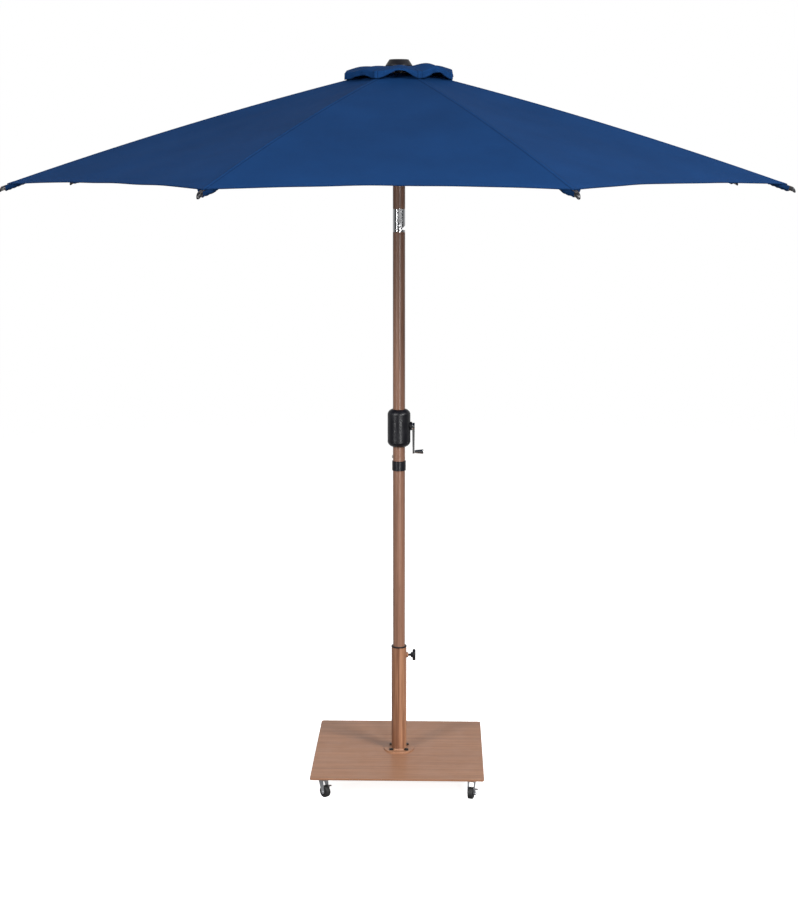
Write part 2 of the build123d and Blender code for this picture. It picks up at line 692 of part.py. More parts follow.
CAP_R = (43.5, 31.0)  # rim and crown
CAP_Z = (2332.0, 2354.0)
STUD_R = 6.0
with BuildPart() as top_cap:
    with BuildSketch(Plane.XZ):
        with BuildLine():
            Polyline(
                (0, 2304),
                (STUD_R, 2304),
                (STUD_R, CAP_Z[0]),
                (CAP_R[0], CAP_Z[0]),
                (CAP_R[0], CAP_Z[0] + 3),
                (CAP_R[1], CAP_Z[1]),
                (0, CAP_Z[1]),
                close=True,
            )
        make_face()
    revolve(axis=Axis.Z)
    fillet(top_cap.edges().filter_by(GeomType.CIRCLE).filter_by(lambda e: e.radius > CAP_R[1] - 1), 1.2)
top_cap.part.label = "top_cap"
export_step(top_cap.part, "parts/top_cap.step")

RUNNER_SLOT = STRUT_WIDTH + 1.2
RUNNER_IN_R = 22.6
RUNNER_SLEEVE_R = 27.0
RUNNER_R = 44.0
RUNNER_HALF = 9.0  # half the height of the notched ring
SLEEVE_DOWN, SLEEVE_UP = 26.0, 30.0
with BuildPart() as runner:
    with BuildSketch(Plane.XZ):
        with BuildLine():
            z = RUNNER_PIVOT[1]
            Polyline(
                (RUNNER_IN_R, z - SLEEVE_DOWN),
                (RUNNER_SLEEVE_R, z - SLEEVE_DOWN),
                (RUNNER_SLEEVE_R, z - RUNNER_HALF),
                (RUNNER_R, z - RUNNER_HALF),
                (RUNNER_R, z + RUNNER_HALF),
                (RUNNER_SLEEVE_R, z + RUNNER_HALF),
                (RUNNER_SLEEVE_R, z + SLEEVE_UP),
                (RUNNER_IN_R, z + SLEEVE_UP),
                close=True,
            )
        make_face()
    revolve(axis=Axis.Z)
    for angle in RIB_ANGLES:
        with BuildSketch(radial_plane(angle)):
            with Locations((RUNNER_SLEEVE_R + 2, RUNNER_PIVOT[1])):
                Rectangle(RUNNER_R, 2 * RUNNER_HALF + 12, align=(Align.MIN, Align.CENTER))
        extrude(amount=RUNNER_SLOT / 2, both=True, mode=Mode.SUBTRACT)
runner.part.label = "runner"
export_step(runner.part, "parts/runner.step")

# ---- ribs and struts ----------------------------------------------------


def rib_arc(drop):
    """Three points of a line that runs under the canopy's ridge at the given depth."""
    return [(r, canopy_z(r) - drop) for r in (HUB_PIVOT_R, (HUB_PIVOT_R + TIP_R) / 2, TIP_R)]


for number, angle in enumerate(RIB_ANGLES, 1):
    plane = radial_plane(angle)
    with BuildPart() as rib:
        with BuildSketch(plane):
            with BuildLine():
                upper = ThreePointArc(*rib_arc(RIB_DROP - RIB_DEPTH / 2))
                under = ThreePointArc(*rib_arc(RIB_DROP + RIB_DEPTH / 2))
                Line(upper @ 1, under @ 1)
                Line(under @ 0, upper @ 0)
            make_face()
            with Locations(HUB_PIVOT):
                Circle(RIB_DEPTH / 2)
            with Locations(KNEE):
                Circle(EAR_R)
            with Locations(KNEE):
                Rectangle(2 * EAR_R, 9, align=(Align.CENTER, Align.MIN))
        extrude(amount=RIB_WIDTH / 2, both=True)
        # the strut hangs between two ears
        with BuildSketch(plane):
            with Locations((KNEE[0], KNEE[1] - EAR_R - 3.3)):
                Rectangle(40, EAR_R + 9.9, align=(Align.CENTER, Align.MIN))
        extrude(amount=STRUT_WIDTH / 2 + 0.3, both=True, mode=Mode.SUBTRACT)
        with BuildSketch(plane):
            with Locations(KNEE):
                Circle(PIN_R)
        extrude(amount=RIB_WIDTH / 2, both=True)
        with BuildSketch(plane):
            with Locations(HUB_PIVOT):
                Circle(PIN_R + RUNNING)
        extrude(amount=RIB_WIDTH / 2, both=True, mode=Mode.SUBTRACT)
    rib.part.label = f"rib_{number}"
    export_step(rib.part, f"parts/rib_{number}.step")

    middle = ((KNEE[0] + RUNNER_PIVOT[0]) / 2, (KNEE[1] + RUNNER_PIVOT[1]) / 2)
    slope = degrees(atan2(KNEE[1] - RUNNER_PIVOT[1], KNEE[0] - RUNNER_PIVOT[0]))
    with BuildPart() as strut:
        with BuildSketch(plane):
            with Locations(middle):
                SlotCenterToCenter(LEG, STRUT_DEPTH, rotation=slope)
            with Locations(KNEE, RUNNER_PIVOT):
                Circle(PIN_R + RUNNING, mode=Mode.SUBTRACT)
        extrude(amount=STRUT_WIDTH / 2, both=True)
    strut.part.label = f"strut_{number}"
    export_step(strut.part, f"parts/strut_{number}.step")

# ---- canopy -------------------------------------------------------------


def half_panel(rib_angle, side, section):
    """From a rib to the middle of the panel beside it: the section is drawn on the panel's middle plane."""
    middle = radial_plane(rib_angle + side * HALF_PITCH)
    with BuildPart() as half:
        with BuildSketch(middle):
            add(section)
        half_width = CORNER_R * sin(radians(HALF_PITCH))
        extrude(amount=half_width + 20, both=True)
        arch_r = half_width**2 / (2 * HEM_ARCH) + HEM_ARCH / 2
        hem = CORNER_R * ACROSS - HEM_ARCH
        with BuildSketch(Plane(origin=(0, 0, UPPER_POLE_Z[0]), x_dir=middle.x_dir, z_dir=(0, 0, 1))):
            with Locations((hem + arch_r, 0)):
                Circle(arch_r)
        extrude(amount=CROWN_Z - UPPER_POLE_Z[0], mode=Mode.SUBTRACT)
        # the upright planes' normals point clockwise, seen from above
        split(bisect_by=middle.offset(side * SEAM_GAP), keep=Keep.TOP if side > 0 else Keep.BOTTOM)
        rib_side = radial_plane(rib_angle)
        split(bisect_by=rib_side, keep=Keep.BOTTOM if side > 0 else Keep.TOP)
    return half.part


def ridge_points(drop):
    """Three points of the main canopy's section on a panel's middle plane."""
    radii = (THROAT_R, (THROAT_R + CORNER_R) / 2, CORNER_R)
    return [(r * ACROSS, canopy_z(r) - drop) for r in radii]


with BuildSketch() as main_section:
    with BuildLine():
        over = ThreePointArc(*ridge_points(-FABRIC / 2))
        below = ThreePointArc(*ridge_points(FABRIC / 2))
        Line(over @ 1, below @ 1)
        Line(below @ 0, over @ 0)
    make_face()

with BuildSketch() as vent_section:
    with BuildLine():
        vent_in, vent_out = VENT_IN_R * ACROSS, VENT_OUT_R * ACROSS
        Polyline(
            (vent_in, VENT_TOP_Z),
            (vent_out, VENT_EDGE_Z),
            (vent_out, VENT_EDGE_Z - VENT_FLAP),
            (vent_out - FABRIC, VENT_EDGE_Z - VENT_FLAP),
            (vent_out - FABRIC, VENT_EDGE_Z - FABRIC),
            (vent_in, VENT_TOP_Z - FABRIC),
            close=True,
        )
    make_face()

for number, angle in enumerate(RIB_ANGLES, 1):
    with BuildPart() as canopy_gore:
        for side in (-1, 1):
            add(half_panel(angle, side, main_section.sketch))
            add(half_panel(angle, side, vent_section.sketch))
    canopy_gore.part.label = f"canopy_gore_{number}"
    export_step(canopy_gore.part, f"parts/canopy_gore_{number}.step")

with BuildPart() as crown_patch:
    add(ring(VENT_IN_R - 4, STUD_R + 0.6, VENT_TOP_Z - FABRIC, VENT_TOP_Z))
crown_patch.part.label = "crown_patch"
export_step(crown_patch.part, "parts/crown_patch.step")
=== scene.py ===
import json
from math import atan2, cos, hypot, pi, radians, sin, tan

import bmesh
import bpy
import numpy as np
from bpy.props import FloatProperty, FloatVectorProperty, PointerProperty
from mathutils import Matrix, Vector


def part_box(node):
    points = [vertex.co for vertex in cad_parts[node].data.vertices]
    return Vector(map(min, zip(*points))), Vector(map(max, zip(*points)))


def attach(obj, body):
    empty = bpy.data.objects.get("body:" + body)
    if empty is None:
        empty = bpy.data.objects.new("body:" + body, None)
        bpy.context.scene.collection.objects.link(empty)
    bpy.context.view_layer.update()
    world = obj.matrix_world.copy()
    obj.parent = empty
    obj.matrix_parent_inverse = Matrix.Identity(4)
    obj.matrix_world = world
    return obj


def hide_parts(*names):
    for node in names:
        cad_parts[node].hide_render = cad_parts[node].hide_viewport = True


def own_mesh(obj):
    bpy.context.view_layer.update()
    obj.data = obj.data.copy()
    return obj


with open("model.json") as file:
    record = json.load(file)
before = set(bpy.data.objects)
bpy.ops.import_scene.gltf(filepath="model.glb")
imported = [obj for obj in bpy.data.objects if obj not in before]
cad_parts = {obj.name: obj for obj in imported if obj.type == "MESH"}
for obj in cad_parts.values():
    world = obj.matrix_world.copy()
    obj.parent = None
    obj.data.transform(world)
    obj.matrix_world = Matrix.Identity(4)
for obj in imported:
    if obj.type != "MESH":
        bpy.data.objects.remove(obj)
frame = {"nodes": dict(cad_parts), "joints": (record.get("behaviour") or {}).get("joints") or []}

# Crank-lift patio umbrella. Metres, +Z up, front towards -Y, crank towards +X.
# Each rib has its own axes: out from the pole, across to the rib's left, and up.

bl_info = {
    "name": "Patio umbrella",
    "version": (1, 0, 0),
    "blender": (4, 5, 0),
    "location": "3D View > Sidebar > Umbrella",
    "description": "Canopy cloth, small fittings, finishes and studio of a crank-lift patio umbrella",
    "category": "Object",
}

JOINTS = {joint["name"]: joint for joint in frame["joints"]}
RIB_COUNT = sum(name.startswith("rib_hinge_") for name in JOINTS)
HALF_PITCH = pi / RIB_COUNT
S, C = sin(HALF_PITCH), cos(HALF_PITCH)
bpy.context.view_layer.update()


def rib_angle(number):
    """Direction of a rib, read from where its hinge stands."""
    x, y, _ = JOINTS[f"rib_hinge_{number}"]["pos_m"]
    return atan2(y, x)


RIB_NUMBERS = range(1, RIB_COUNT + 1)
SEED = 11


# ---- settings ---------------------------------------------------------------


def length(name, description, default):
    return FloatProperty(name=name, description=description, default=default, unit="LENGTH", precision=4)


def colour(name, description, default):
    return FloatVectorProperty(
        name=name, description=description, default=default, subtype="COLOR", size=3, min=0, max=1
    )


class CanopySettings(bpy.types.PropertyGroup):
    crown: length("Crown height", "Height at which the ridge lines would meet on the pole's axis", 2.329)
    fall: FloatProperty(name="Fall", description="Fall of a ridge per metre at the axis", default=0.24)
    bend: FloatProperty(name="Bend", description="Extra fall per square metre of radius", default=0.0415)
    throat: length("Throat radius", "Inner edge of the main canopy over a rib", 0.090)
    corner: length("Corner radius", "Hem corner over a rib", 1.250)
    hem_arch: length("Hem arch", "How far the hem bows in between two ribs", 0.027)
    sag: length("Sag", "How far the cloth hangs below a straight line between two ribs", 0.011)
    ripple: length("Ripple", "Height of the cloth's small waves", 0.0011)
    cloth: length("Cloth thickness", "One layer of canopy cloth", 0.0008)
    hem_band: length("Hem band", "Width of the turned and stitched hem", 0.020)
    seam: length("Seam half width", "Half the width of the felled seam over a rib", 0.006)
    fold_width: FloatProperty(name="Folded width", description="Share of a gore's width left when closed",
                              default=0.13, subtype="FACTOR")
    navy: colour("Cloth colour", "Solution-dyed navy cloth", (0.0052, 0.034, 0.118))


class VentSettings(bpy.types.PropertyGroup):
    inner: length("Inner radius", "Where the vent tier meets the crown cloth", 0.049)
    outer: length("Outer radius", "Vent tier's corner over a rib", 0.185)
    top: length("Top height", "Height of the vent tier under the cap", 2.3305)
    edge: length("Edge height", "Height of the vent tier's corner over a rib", 2.3085)
    flap: length("Flap", "Depth of the flap at the vent tier's edge", 0.022)
    billow: length("Billow", "How high the cloth blows up between two ribs", 0.014)
    gape: length("Gape", "How high the flap's lower edge arches up between two ribs", 0.026)
    fold_width: FloatProperty(name="Folded width", description="Share of the width left when closed",
                              default=0.42, subtype="FACTOR")


class FittingSettings(bpy.types.PropertyGroup):
    pocket_length: length("Pocket length", "Corner pocket along the rib", 0.064)
    pocket_depth: length("Pocket depth", "How far a corner pocket hangs below the cloth", 0.0175)
    sleeve_depth: length("Sleeve depth", "How far a rib's sleeve reaches down its sides", 0.005)
    tip_length: length("Tip length", "Nose of a plastic rib tip, past the rib's end", 0.008)
    rivet: length("Rivet radius", "Rivet head at a knee", 0.0042)
    bead: length("Weld bead", "Radius of the weld bead round the foot of the stem", 0.003)


class FinishSettings(bpy.types.PropertyGroup):
    pole_light: colour("Pole light grain", "Light streaks of the pole's printed grain", (0.34, 0.175, 0.112))
    pole_dark: colour("Pole dark grain", "Dark streaks of the pole's printed grain", (0.17, 0.079, 0.048))
    stem_light: colour("Stem light grain", "Light streaks of the stem's grain", (0.44, 0.215, 0.118))
    stem_dark: colour("Stem dark grain", "Dark streaks of the stem's grain", (0.17, 0.068, 0.034))
    plate_light: colour("Plate light grain", "Light streaks of the plate's grain", (0.43, 0.215, 0.118))
    plate_dark: colour("Plate dark grain", "Dark streaks of the plate's grain", (0.27, 0.125, 0.068))
    plastic: colour("Black plastic", "Moulded black plastic", (0.006, 0.006, 0.009))
    chrome: colour("Chrome", "Polished chrome plating", (0.62, 0.62, 0.63))


class StudioSettings(bpy.types.PropertyGroup):
    camera_distance: length("Camera distance", "Camera to the pole, along the floor", 5.533)
    camera_height: length("Camera height", "Camera above the floor", 2.07)
    camera_side: FloatProperty(name="Camera side", description="Turn of the camera round the pole",
                               default=radians(1.39), subtype="ANGLE")
    camera_pitch: FloatProperty(name="Camera pitch", description="How far the camera looks down",
                                default=radians(5.5), subtype="ANGLE")
    focal: FloatProperty(name="Focal length", description="Lens, in millimetres", default=68.15)
    shift: FloatProperty(name="Rise", description="Vertical shift of the lens", default=-0.1531)
    floor: length("Floor radius", "Where the floor has faded into the backdrop", 8.0)
    floor_glow: FloatProperty(name="Floor glow", description="Light that the floor gives off", default=0.85)
    surround: FloatProperty(name="Surround", description="Light from the sides and the back", default=0.55)
    front_surround: FloatProperty(name="Front surround", description="Light from the front", default=0.08)


GROUPS = {
    "umbrella_canopy": CanopySettings,
    "umbrella_vent": VentSettings,
    "umbrella_fittings": FittingSettings,
    "umbrella_finishes": FinishSettings,
    "umbrella_studio": StudioSettings,
}


# ---- surfaces ---------------------------------------------------------------


def grid_quads(rows, columns, start=0, closed=False):
    """Quads of a grid whose points are numbered row by row; closed joins the last column to the first."""
    row, column = np.meshgrid(np.arange(rows - 1), np.arange(columns - (not closed)), indexing="ij")
    following = (column + 1) % columns
    quads = np.stack([row * columns + column, row * columns + following,
                      (row + 1) * columns + following, (row + 1) * columns + column], axis=-1)
    return start + quads.reshape(-1, 4)


def rim_quads(rows, columns):
    """Quads that join the borders of two layers of a grid, the second numbered after the first."""
    size = rows * columns
    numbers = np.arange(size).reshape(rows, columns)
    border = np.concatenate([numbers[0, :-1], numbers[:-1, -1], numbers[-1, :0:-1], numbers[:0:-1, 0]])
    following = np.roll(border, -1)
    return np.stack([border, border + size, following + size, following], axis=-1)


def make_piece(name, points, quads, body, finish, cut=None):
    """A smooth mesh piece from arrays of points and quads, riding on a body.
    cut is a (u, v) for each point."""
    mesh = bpy.data.meshes.new(name)
    mesh.from_pydata(points.reshape(-1, 3), [], quads)
    if cut is not None:
        layer = mesh.uv_layers.new(name="cut")
        layer.data.foreach_set("uv", cut.reshape(-1, 2)[quads.ravel()].astype(np.float32).ravel())
    mesh.validate()
    mesh.shade_smooth()
    mesh.set_sharp_from_angle(angle=radians(50))
    mesh.materials.append(finish)
    piece = bpy.data.objects.new(name, mesh)
    bpy.context.scene.collection.objects.link(piece)
    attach(piece, body)
    return piece


def cloth_shell(name, middle, lift, over, under, body, finish, cut):
    """Two layers of points about a middle surface, moved along lift by over and back by under.
    Their rims are closed."""
    rows, columns = middle.shape[:2]
    outer = middle + lift * over[..., None]
    inner = middle - lift * under[..., None]
    points = np.concatenate([outer.reshape(-1, 3), inner.reshape(-1, 3)])
    skin = grid_quads(rows, columns)
    lining = grid_quads(rows, columns, rows * columns)[:, ::-1]
    quads = np.concatenate([skin, lining, rim_quads(rows, columns)])
    pattern = cut.reshape(-1, 2)
    return make_piece(name, points, quads, body, finish, np.concatenate([pattern, pattern]))


def swept_tube(name, rings, body, finish):
    """A closed tube through rings of points, with a point at the middle of each end."""
    count, around = rings.shape[:2]
    ends = np.stack([rings[0].mean(axis=0), rings[-1].mean(axis=0)])
    caps = np.repeat(ends[:, None, :], around, axis=1)
    points = np.concatenate([caps[:1], rings, caps[1:]])
    piece = make_piece(name, points, grid_quads(count + 2, around, closed=True), body, finish)
    merge_close_points(piece)
    return piece


def merge_close_points(piece, distance=1e-6):
    """Merges points that lie together, and turns all faces outwards."""
    work = bmesh.new()
    work.from_mesh(piece.data)
    bmesh.ops.remove_doubles(work, verts=work.verts, dist=distance)
    bmesh.ops.recalc_face_normals(work, faces=work.faces)
    work.to_mesh(piece.data)
    work.free()


def at_rib(angle, out, across, up):
    """World points from a rib's own axes: out and across turned by the rib's angle, and up."""
    out, across, up = np.broadcast_arrays(out, across, up)
    x = out * cos(angle) - across * sin(angle)
    y = out * sin(angle) + across * cos(angle)
    return np.stack([x, y, up], axis=-1)


def fan(level, share):
    """Out and across, in a rib's axes, of a point on the straight line between two ribs.
    level is the radius at which that line leaves the rib, and share runs from 0 on the rib to 1, or -1,
    half way to the next one: out = level (1 - |share| sin^2), across = level share sin cos."""
    return level * (1 - np.abs(share) * S * S), level * share * S * C


def ridge(canopy, radius):
    """Height of the main canopy over a rib: crown less fall times radius, less bend times radius squared."""
    return canopy.crown - canopy.fall * radius - canopy.bend * radius ** 2


def panel_place(number, share):
    """The panel that each column of a gore lies on, and its place across it.
    The place runs from -1 at one rib to 1 at the next."""
    ahead = share >= 0
    panel = np.where(ahead, number - 1, (number - 2) % RIB_COUNT)
    place = np.where(ahead, share - 1, share + 1)
    return panel, place


def graded(count, power):
    """Numbers from -1 to 1, closer together near 0: u |u|^(power - 1) of evenly spaced u."""
    even = np.linspace(-1, 1, 2 * count + 1)
    return even * np.abs(even) ** (power - 1)


def smooth(value, low, high):
    """0 below low and 1 above high, with a smooth cubic between them."""
    t = np.clip((value - low) / (high - low), 0, 1)
    return t * t * (3 - 2 * t)


def squared(value, power=0.6):
    """Pulls a sine or cosine towards a square section: a power of it below 1, with its sign."""
    return np.sign(value) * np.abs(value) ** power


def main_ripple(panel, place, run):
    """Small waves of the cloth: for each panel, sines of its own phase across and along it.
    They vanish at the ribs, and are largest towards the hem."""
    draw = np.random.default_rng(SEED)
    total = 0
    for across, along, size in ((5.2, 3.0, 0.9), (9.5, 7.5, 0.5), (14.0, 2.0, 0.35), (3.0, 12.0, 0.5)):
        phase = draw.uniform(0, 2 * pi, RIB_COUNT)[panel]
        strength = size * draw.uniform(0.5, 1.2, RIB_COUNT)[panel]
        total = total + strength * np.sin(across * place + along * run + phase)
    return total * (1 - place ** 2) * (0.35 + 0.65 * run ** 3)


def main_gore(canopy, number, finish):
    """The main canopy's cloth from the middle of one panel, over a rib, to the middle of the next.
    Height is the ridge's at the same level, less a sag that is a half sine along the panel and an upside-down
    parabola across it, plus the ripple."""
    share = graded(56, 2.0)[None, :]
    slope_length = canopy.corner - canopy.throat
    band = np.linspace(0, 1.6 * canopy.hem_band / slope_length, 14)
    run = np.concatenate([np.linspace(0, 1 - band[-1], 104)[:-1], 1 - band[::-1]])[:, None]
    panel, place = panel_place(number, share)
    hem = canopy.corner - canopy.hem_arch / C * (1 - place ** 2)
    level = canopy.throat + run * (hem - canopy.throat)
    out, across = fan(level, share)
    hang = canopy.sag * np.sin(pi * run) * (1 - (1 - np.abs(share)) ** 2)
    up = ridge(canopy, level) - hang + canopy.ripple * main_ripple(panel, place, run)
    angle = rib_angle(number)
    middle = at_rib(angle, out, across, up)
    from_hem = (1 - run) * (hem - canopy.throat)
    turned = 1 - smooth(from_hem, canopy.hem_band - 0.001, canopy.hem_band + 0.001)
    felled = 1 - smooth(np.abs(across), canopy.seam - 0.0006, canopy.seam + 0.0006)
    under = canopy.cloth * (0.5 + 0.8 * turned)
    over = canopy.cloth * (0.5 + 0.5 * turned + 0.9 * felled)
    cut = np.stack(np.broadcast_arrays(across, from_hem), axis=-1)
    lift = np.broadcast_to(np.array([0.0, 0.0, 1.0]), middle.shape)
    piece = cloth_shell(f"main_gore_{number}", middle, lift, over, under, f"rib_arm_{number}", finish, cut)
    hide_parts(f"canopy_gore_{number}")
    fold_to_rib(piece)


def fold_to_rib(piece):
    """Gives the cloth piece a mesh of its own."""
    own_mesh(piece)


# how the cloth of each vent panel blows up: shares of the billow and of the gape, and where they are highest
VENT_PUFFS = ((0.8, 0.35, -0.15), (0.6, 0.45, 0.2), (0.9, 0.35, 0.1), (0.7, 0.3, -0.2),
              (0.45, 0.45, 0.2), (0.6, 1.0, 0.12), (1.15, 0.8, 0.08), (0.9, 0.3, 0.0))


def vent_puff(panel, place):
    """How high the cloth of a vent panel blows up at its edge, and how high its flap arches there, as shares:
    squared cosines across the panel, whose top is moved to one side."""
    billow, gape, top = np.array(VENT_PUFFS).T[:, panel]
    moved = place - top * (1 - place ** 2)
    arch = np.cos(pi / 2 * moved) ** 2
    return billow * arch, gape * arch


def vent_gore(canopy, vent, number, finish):
    """The vent tier's cloth nearest a rib: a low dome from the crown cloth out, blown up between the ribs.
    It turns down at its edge through a quarter circle into a hanging flap."""
    share = graded(22, 1.4)[None, :]
    turn = 0.004
    flat_run = np.linspace(0, 1, 30)
    arc = np.linspace(0, pi / 2, 6)[1:]
    drop = np.linspace(0, 1, 9)[1:]
    level = np.concatenate([vent.inner + flat_run * (vent.outer - turn - vent.inner),
                            vent.outer - turn + turn * np.sin(arc), np.full(drop.size, vent.outer)])
    fallen = np.concatenate([np.zeros(flat_run.size), turn * (1 - np.cos(arc)),
                             turn + drop * (vent.flap - turn)])
    lean = np.concatenate([np.zeros(flat_run.size), arc, np.full(drop.size, pi / 2)])
    hung = np.concatenate([np.zeros(flat_run.size + arc.size), drop])
    level, fallen, lean, hung = (column[:, None] for column in (level, fallen, lean, hung))
    panel, place = panel_place(number, share)
    run = np.clip((level - vent.inner) / (vent.outer - vent.inner), 0, 1)
    billow_share, gape_share = vent_puff(panel, place)
    puff = vent.billow * billow_share
    shortened = np.clip(vent.gape * gape_share - puff, 0, 0.75 * vent.flap)
    fallen = fallen - hung * shortened
    swing = 0.004 * hung * (1 - np.abs(place)) * np.sin(9 * place + panel)
    out, across = fan(level + swing + 0.05 * puff * run, share)
    up = (vent.top + (vent.edge - vent.top) * run + 0.005 * np.sin(pi * run)
          + puff * smooth(run, 0.0, 0.75) * (1 + 0.12 * np.sin(pi * run)) - fallen)
    angle = rib_angle(number)
    middle = at_rib(angle, out, across, up)
    facing = HALF_PITCH * np.sign(share) * np.clip(np.abs(share) / 0.06, 0, 1)
    lift = at_rib(angle, np.sin(lean) * np.cos(facing), np.sin(lean) * np.sin(facing),
                  np.cos(lean) + 0 * share)
    from_edge = (1 - hung) * (vent.flap - shortened) + (vent.outer - level)
    felled = 1 - smooth(np.abs(across), 0.0040, 0.0048)
    turned = 1 - smooth(from_edge, 0.0085, 0.0095)
    even = canopy.cloth * (0.5 + 0.35 * turned)
    cut = np.stack(np.broadcast_arrays(across, from_edge + 0 * share), axis=-1)
    over = even + canopy.cloth * 0.8 * felled
    under = even + 0 * share
    piece = cloth_shell(f"vent_gore_{number}", middle, lift, over, under, f"rib_arm_{number}", finish, cut)
    fold_to_rib(piece)


CAP_SCREW_HOLE = 0.0066     # radius


def crown_cloth(canopy, vent, finish):
    """The cloth ring under the cap: the same straight lines between the ribs.
    It runs from the cap's screw out to where the vent tier begins."""
    level = np.linspace(CAP_SCREW_HOLE, vent.inner, 12)[:, None]
    share = np.linspace(-1, 1, 13)[:-1]
    rings = []
    for number in RIB_NUMBERS:
        out, across = fan(level, share[None, :])
        rings.append(at_rib(rib_angle(number), out, across, vent.top))
    middle = np.concatenate(rings, axis=1)
    rows, columns = middle.shape[:2]
    half = np.array([0, 0, canopy.cloth / 2])
    points = np.concatenate([(middle + half).reshape(-1, 3), (middle - half).reshape(-1, 3)])
    skin = grid_quads(rows, columns, closed=True)
    lining = grid_quads(rows, columns, rows * columns, closed=True)[:, ::-1]
    column = np.arange(columns)
    following = (column + 1) % columns
    size = rows * columns
    last = (rows - 1) * columns
    outer_rim = np.stack([column + last, column + last + size,
                          following + last + size, following + last], axis=-1)
    inner_rim = np.stack([column, following, following + size, column + size], axis=-1)
    cut = 0.1 + points[:, :2]
    piece = make_piece("crown_cloth", points, np.concatenate([skin, lining, outer_rim, inner_rim]), "mast",
                       finish, cut)
    merge_close_points(piece, 0.0)
    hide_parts("crown_patch")


POCKET_PAST_CORNER = 0.009  # how far a pocket reaches past the hem corner
POCKET_MOUTH = 0.028        # half width where a pocket starts
POCKET_END = 0.0075         # half width at the corner


def corner_pocket(canopy, fittings, number, finish):
    """The sewn pocket that holds a rib's end: a trough under the corner.
    Its section is a half superellipse that hangs from the cloth. Its width narrows to the rib at the corner.
    Both close in a rounded end."""
    run = np.linspace(0, 1, 26)[:, None]
    turn = np.linspace(0, pi, 25)[None, :]
    start = canopy.corner + POCKET_PAST_CORNER - fittings.pocket_length
    out = start + run * fittings.pocket_length
    closing = (1 - run ** 24) ** 0.5
    narrowing = smooth(out, canopy.corner - 0.026, canopy.corner + 0.003)
    half_width = (POCKET_MOUTH - (POCKET_MOUTH - POCKET_END) * narrowing) * closing
    crumple = 0.0016 * np.sin(5 * turn + 2.3 * number) * np.sin(turn) + 0.0008 * np.sin(31 * run + number)
    depth = (fittings.pocket_depth - 0.003 * (1 - run) + crumple) * closing
    across = half_width * np.sign(np.cos(turn)) * np.abs(np.cos(turn)) ** 0.8
    under_cloth = ridge(canopy, out + np.abs(across) * tan(HALF_PITCH)) - 1.3 * canopy.cloth
    up = under_cloth - depth * np.sin(turn) ** 0.75 - 0.0004
    angle = rib_angle(number)
    middle = at_rib(angle, out + 0 * turn, across, up)
    lift = at_rib(angle, 0 * up, np.cos(turn) + 0 * up, -np.sin(turn) + 0 * up)
    even = np.full(up.shape, canopy.cloth / 2)
    girth = (turn - pi / 2) / pi * 0.07
    cut = np.stack(np.broadcast_arrays(0.2 + girth, 0.2 + run * fittings.pocket_length), axis=-1)
    piece = cloth_shell(f"corner_pocket_{number}", middle, lift, even, even, f"rib_arm_{number}", finish, cut)
    fold_to_rib(piece)


SLEEVE_HALF_WIDTH = 0.006
SLEEVE_DROP = 0.0014        # top of a sleeve below the ridge
SLEEVE_CLOTH = 0.0005       # one layer of the sleeve's cloth
SLEEVE_POWER = 0.35         # how square a sleeve's section is


def rib_sleeve(canopy, fittings, number, finish):
    """The narrow sleeve under the seam that a rib lies in: half of a superellipse over the rib's top, carried
    along the rib."""
    out = np.linspace(canopy.throat + 0.004, canopy.corner - 0.012, 90)[:, None]
    turn = np.linspace(pi, 0, 17)[None, :]
    up = ridge(canopy, out) - SLEEVE_DROP - fittings.sleeve_depth * (1 - squared(np.sin(turn), SLEEVE_POWER))
    across = SLEEVE_HALF_WIDTH * squared(np.cos(turn), SLEEVE_POWER) + 0 * out
    angle = rib_angle(number)
    middle = at_rib(angle, out + 0 * turn, across, up)
    lift = at_rib(angle, 0 * up, np.cos(turn) + 0 * up, np.sin(turn) + 0 * up)
    even = np.full(up.shape, SLEEVE_CLOTH / 2)
    girth = 2 * (SLEEVE_HALF_WIDTH + fittings.sleeve_depth)
    run = (out - out[0]) + 0 * turn
    cut = np.stack([0.2 + girth * (turn / pi - 0.5) + 0 * out, 0.2 + run], axis=-1)
    piece = cloth_shell(f"rib_sleeve_{number}", middle, lift, even, even, f"rib_arm_{number}", finish, cut)


TIP_START = 0.014           # a tip begins this far inside the hem corner
RIB_END = 0.0165            # a rib ends this far past the hem corner
TIP_HALF_HEIGHT = 0.0069
TIP_HALF_WIDTH = 0.0058


def rib_tip(canopy, fittings, number, finish):
    """The moulded end of a rib: superellipse rings that get smaller and drop towards the nose."""
    sleeve = np.linspace(0, 1, 6)
    nose = np.sin(np.linspace(0, pi / 2, 9))[1:]
    start, rib_end = canopy.corner - TIP_START, canopy.corner + RIB_END
    out = np.concatenate([start + sleeve * (rib_end - start), rib_end + nose * fittings.tip_length])[:, None]
    tapering = np.concatenate([np.zeros(sleeve.size), nose])[:, None]
    turn = np.linspace(0, 2 * pi, 29)[None, :-1]
    shrink = np.sqrt(np.clip(1 - tapering ** 2.4, 0, 1)) + 0.02
    middle_up = ridge(canopy, out) - 0.0086 - 0.0045 * tapering
    up = middle_up + TIP_HALF_HEIGHT * shrink * squared(np.sin(turn))
    rings = at_rib(rib_angle(number), out + 0 * turn, TIP_HALF_WIDTH * shrink * squared(np.cos(turn)), up)
    swept_tube(f"rib_tip_{number}", rings, f"rib_arm_{number}", finish)


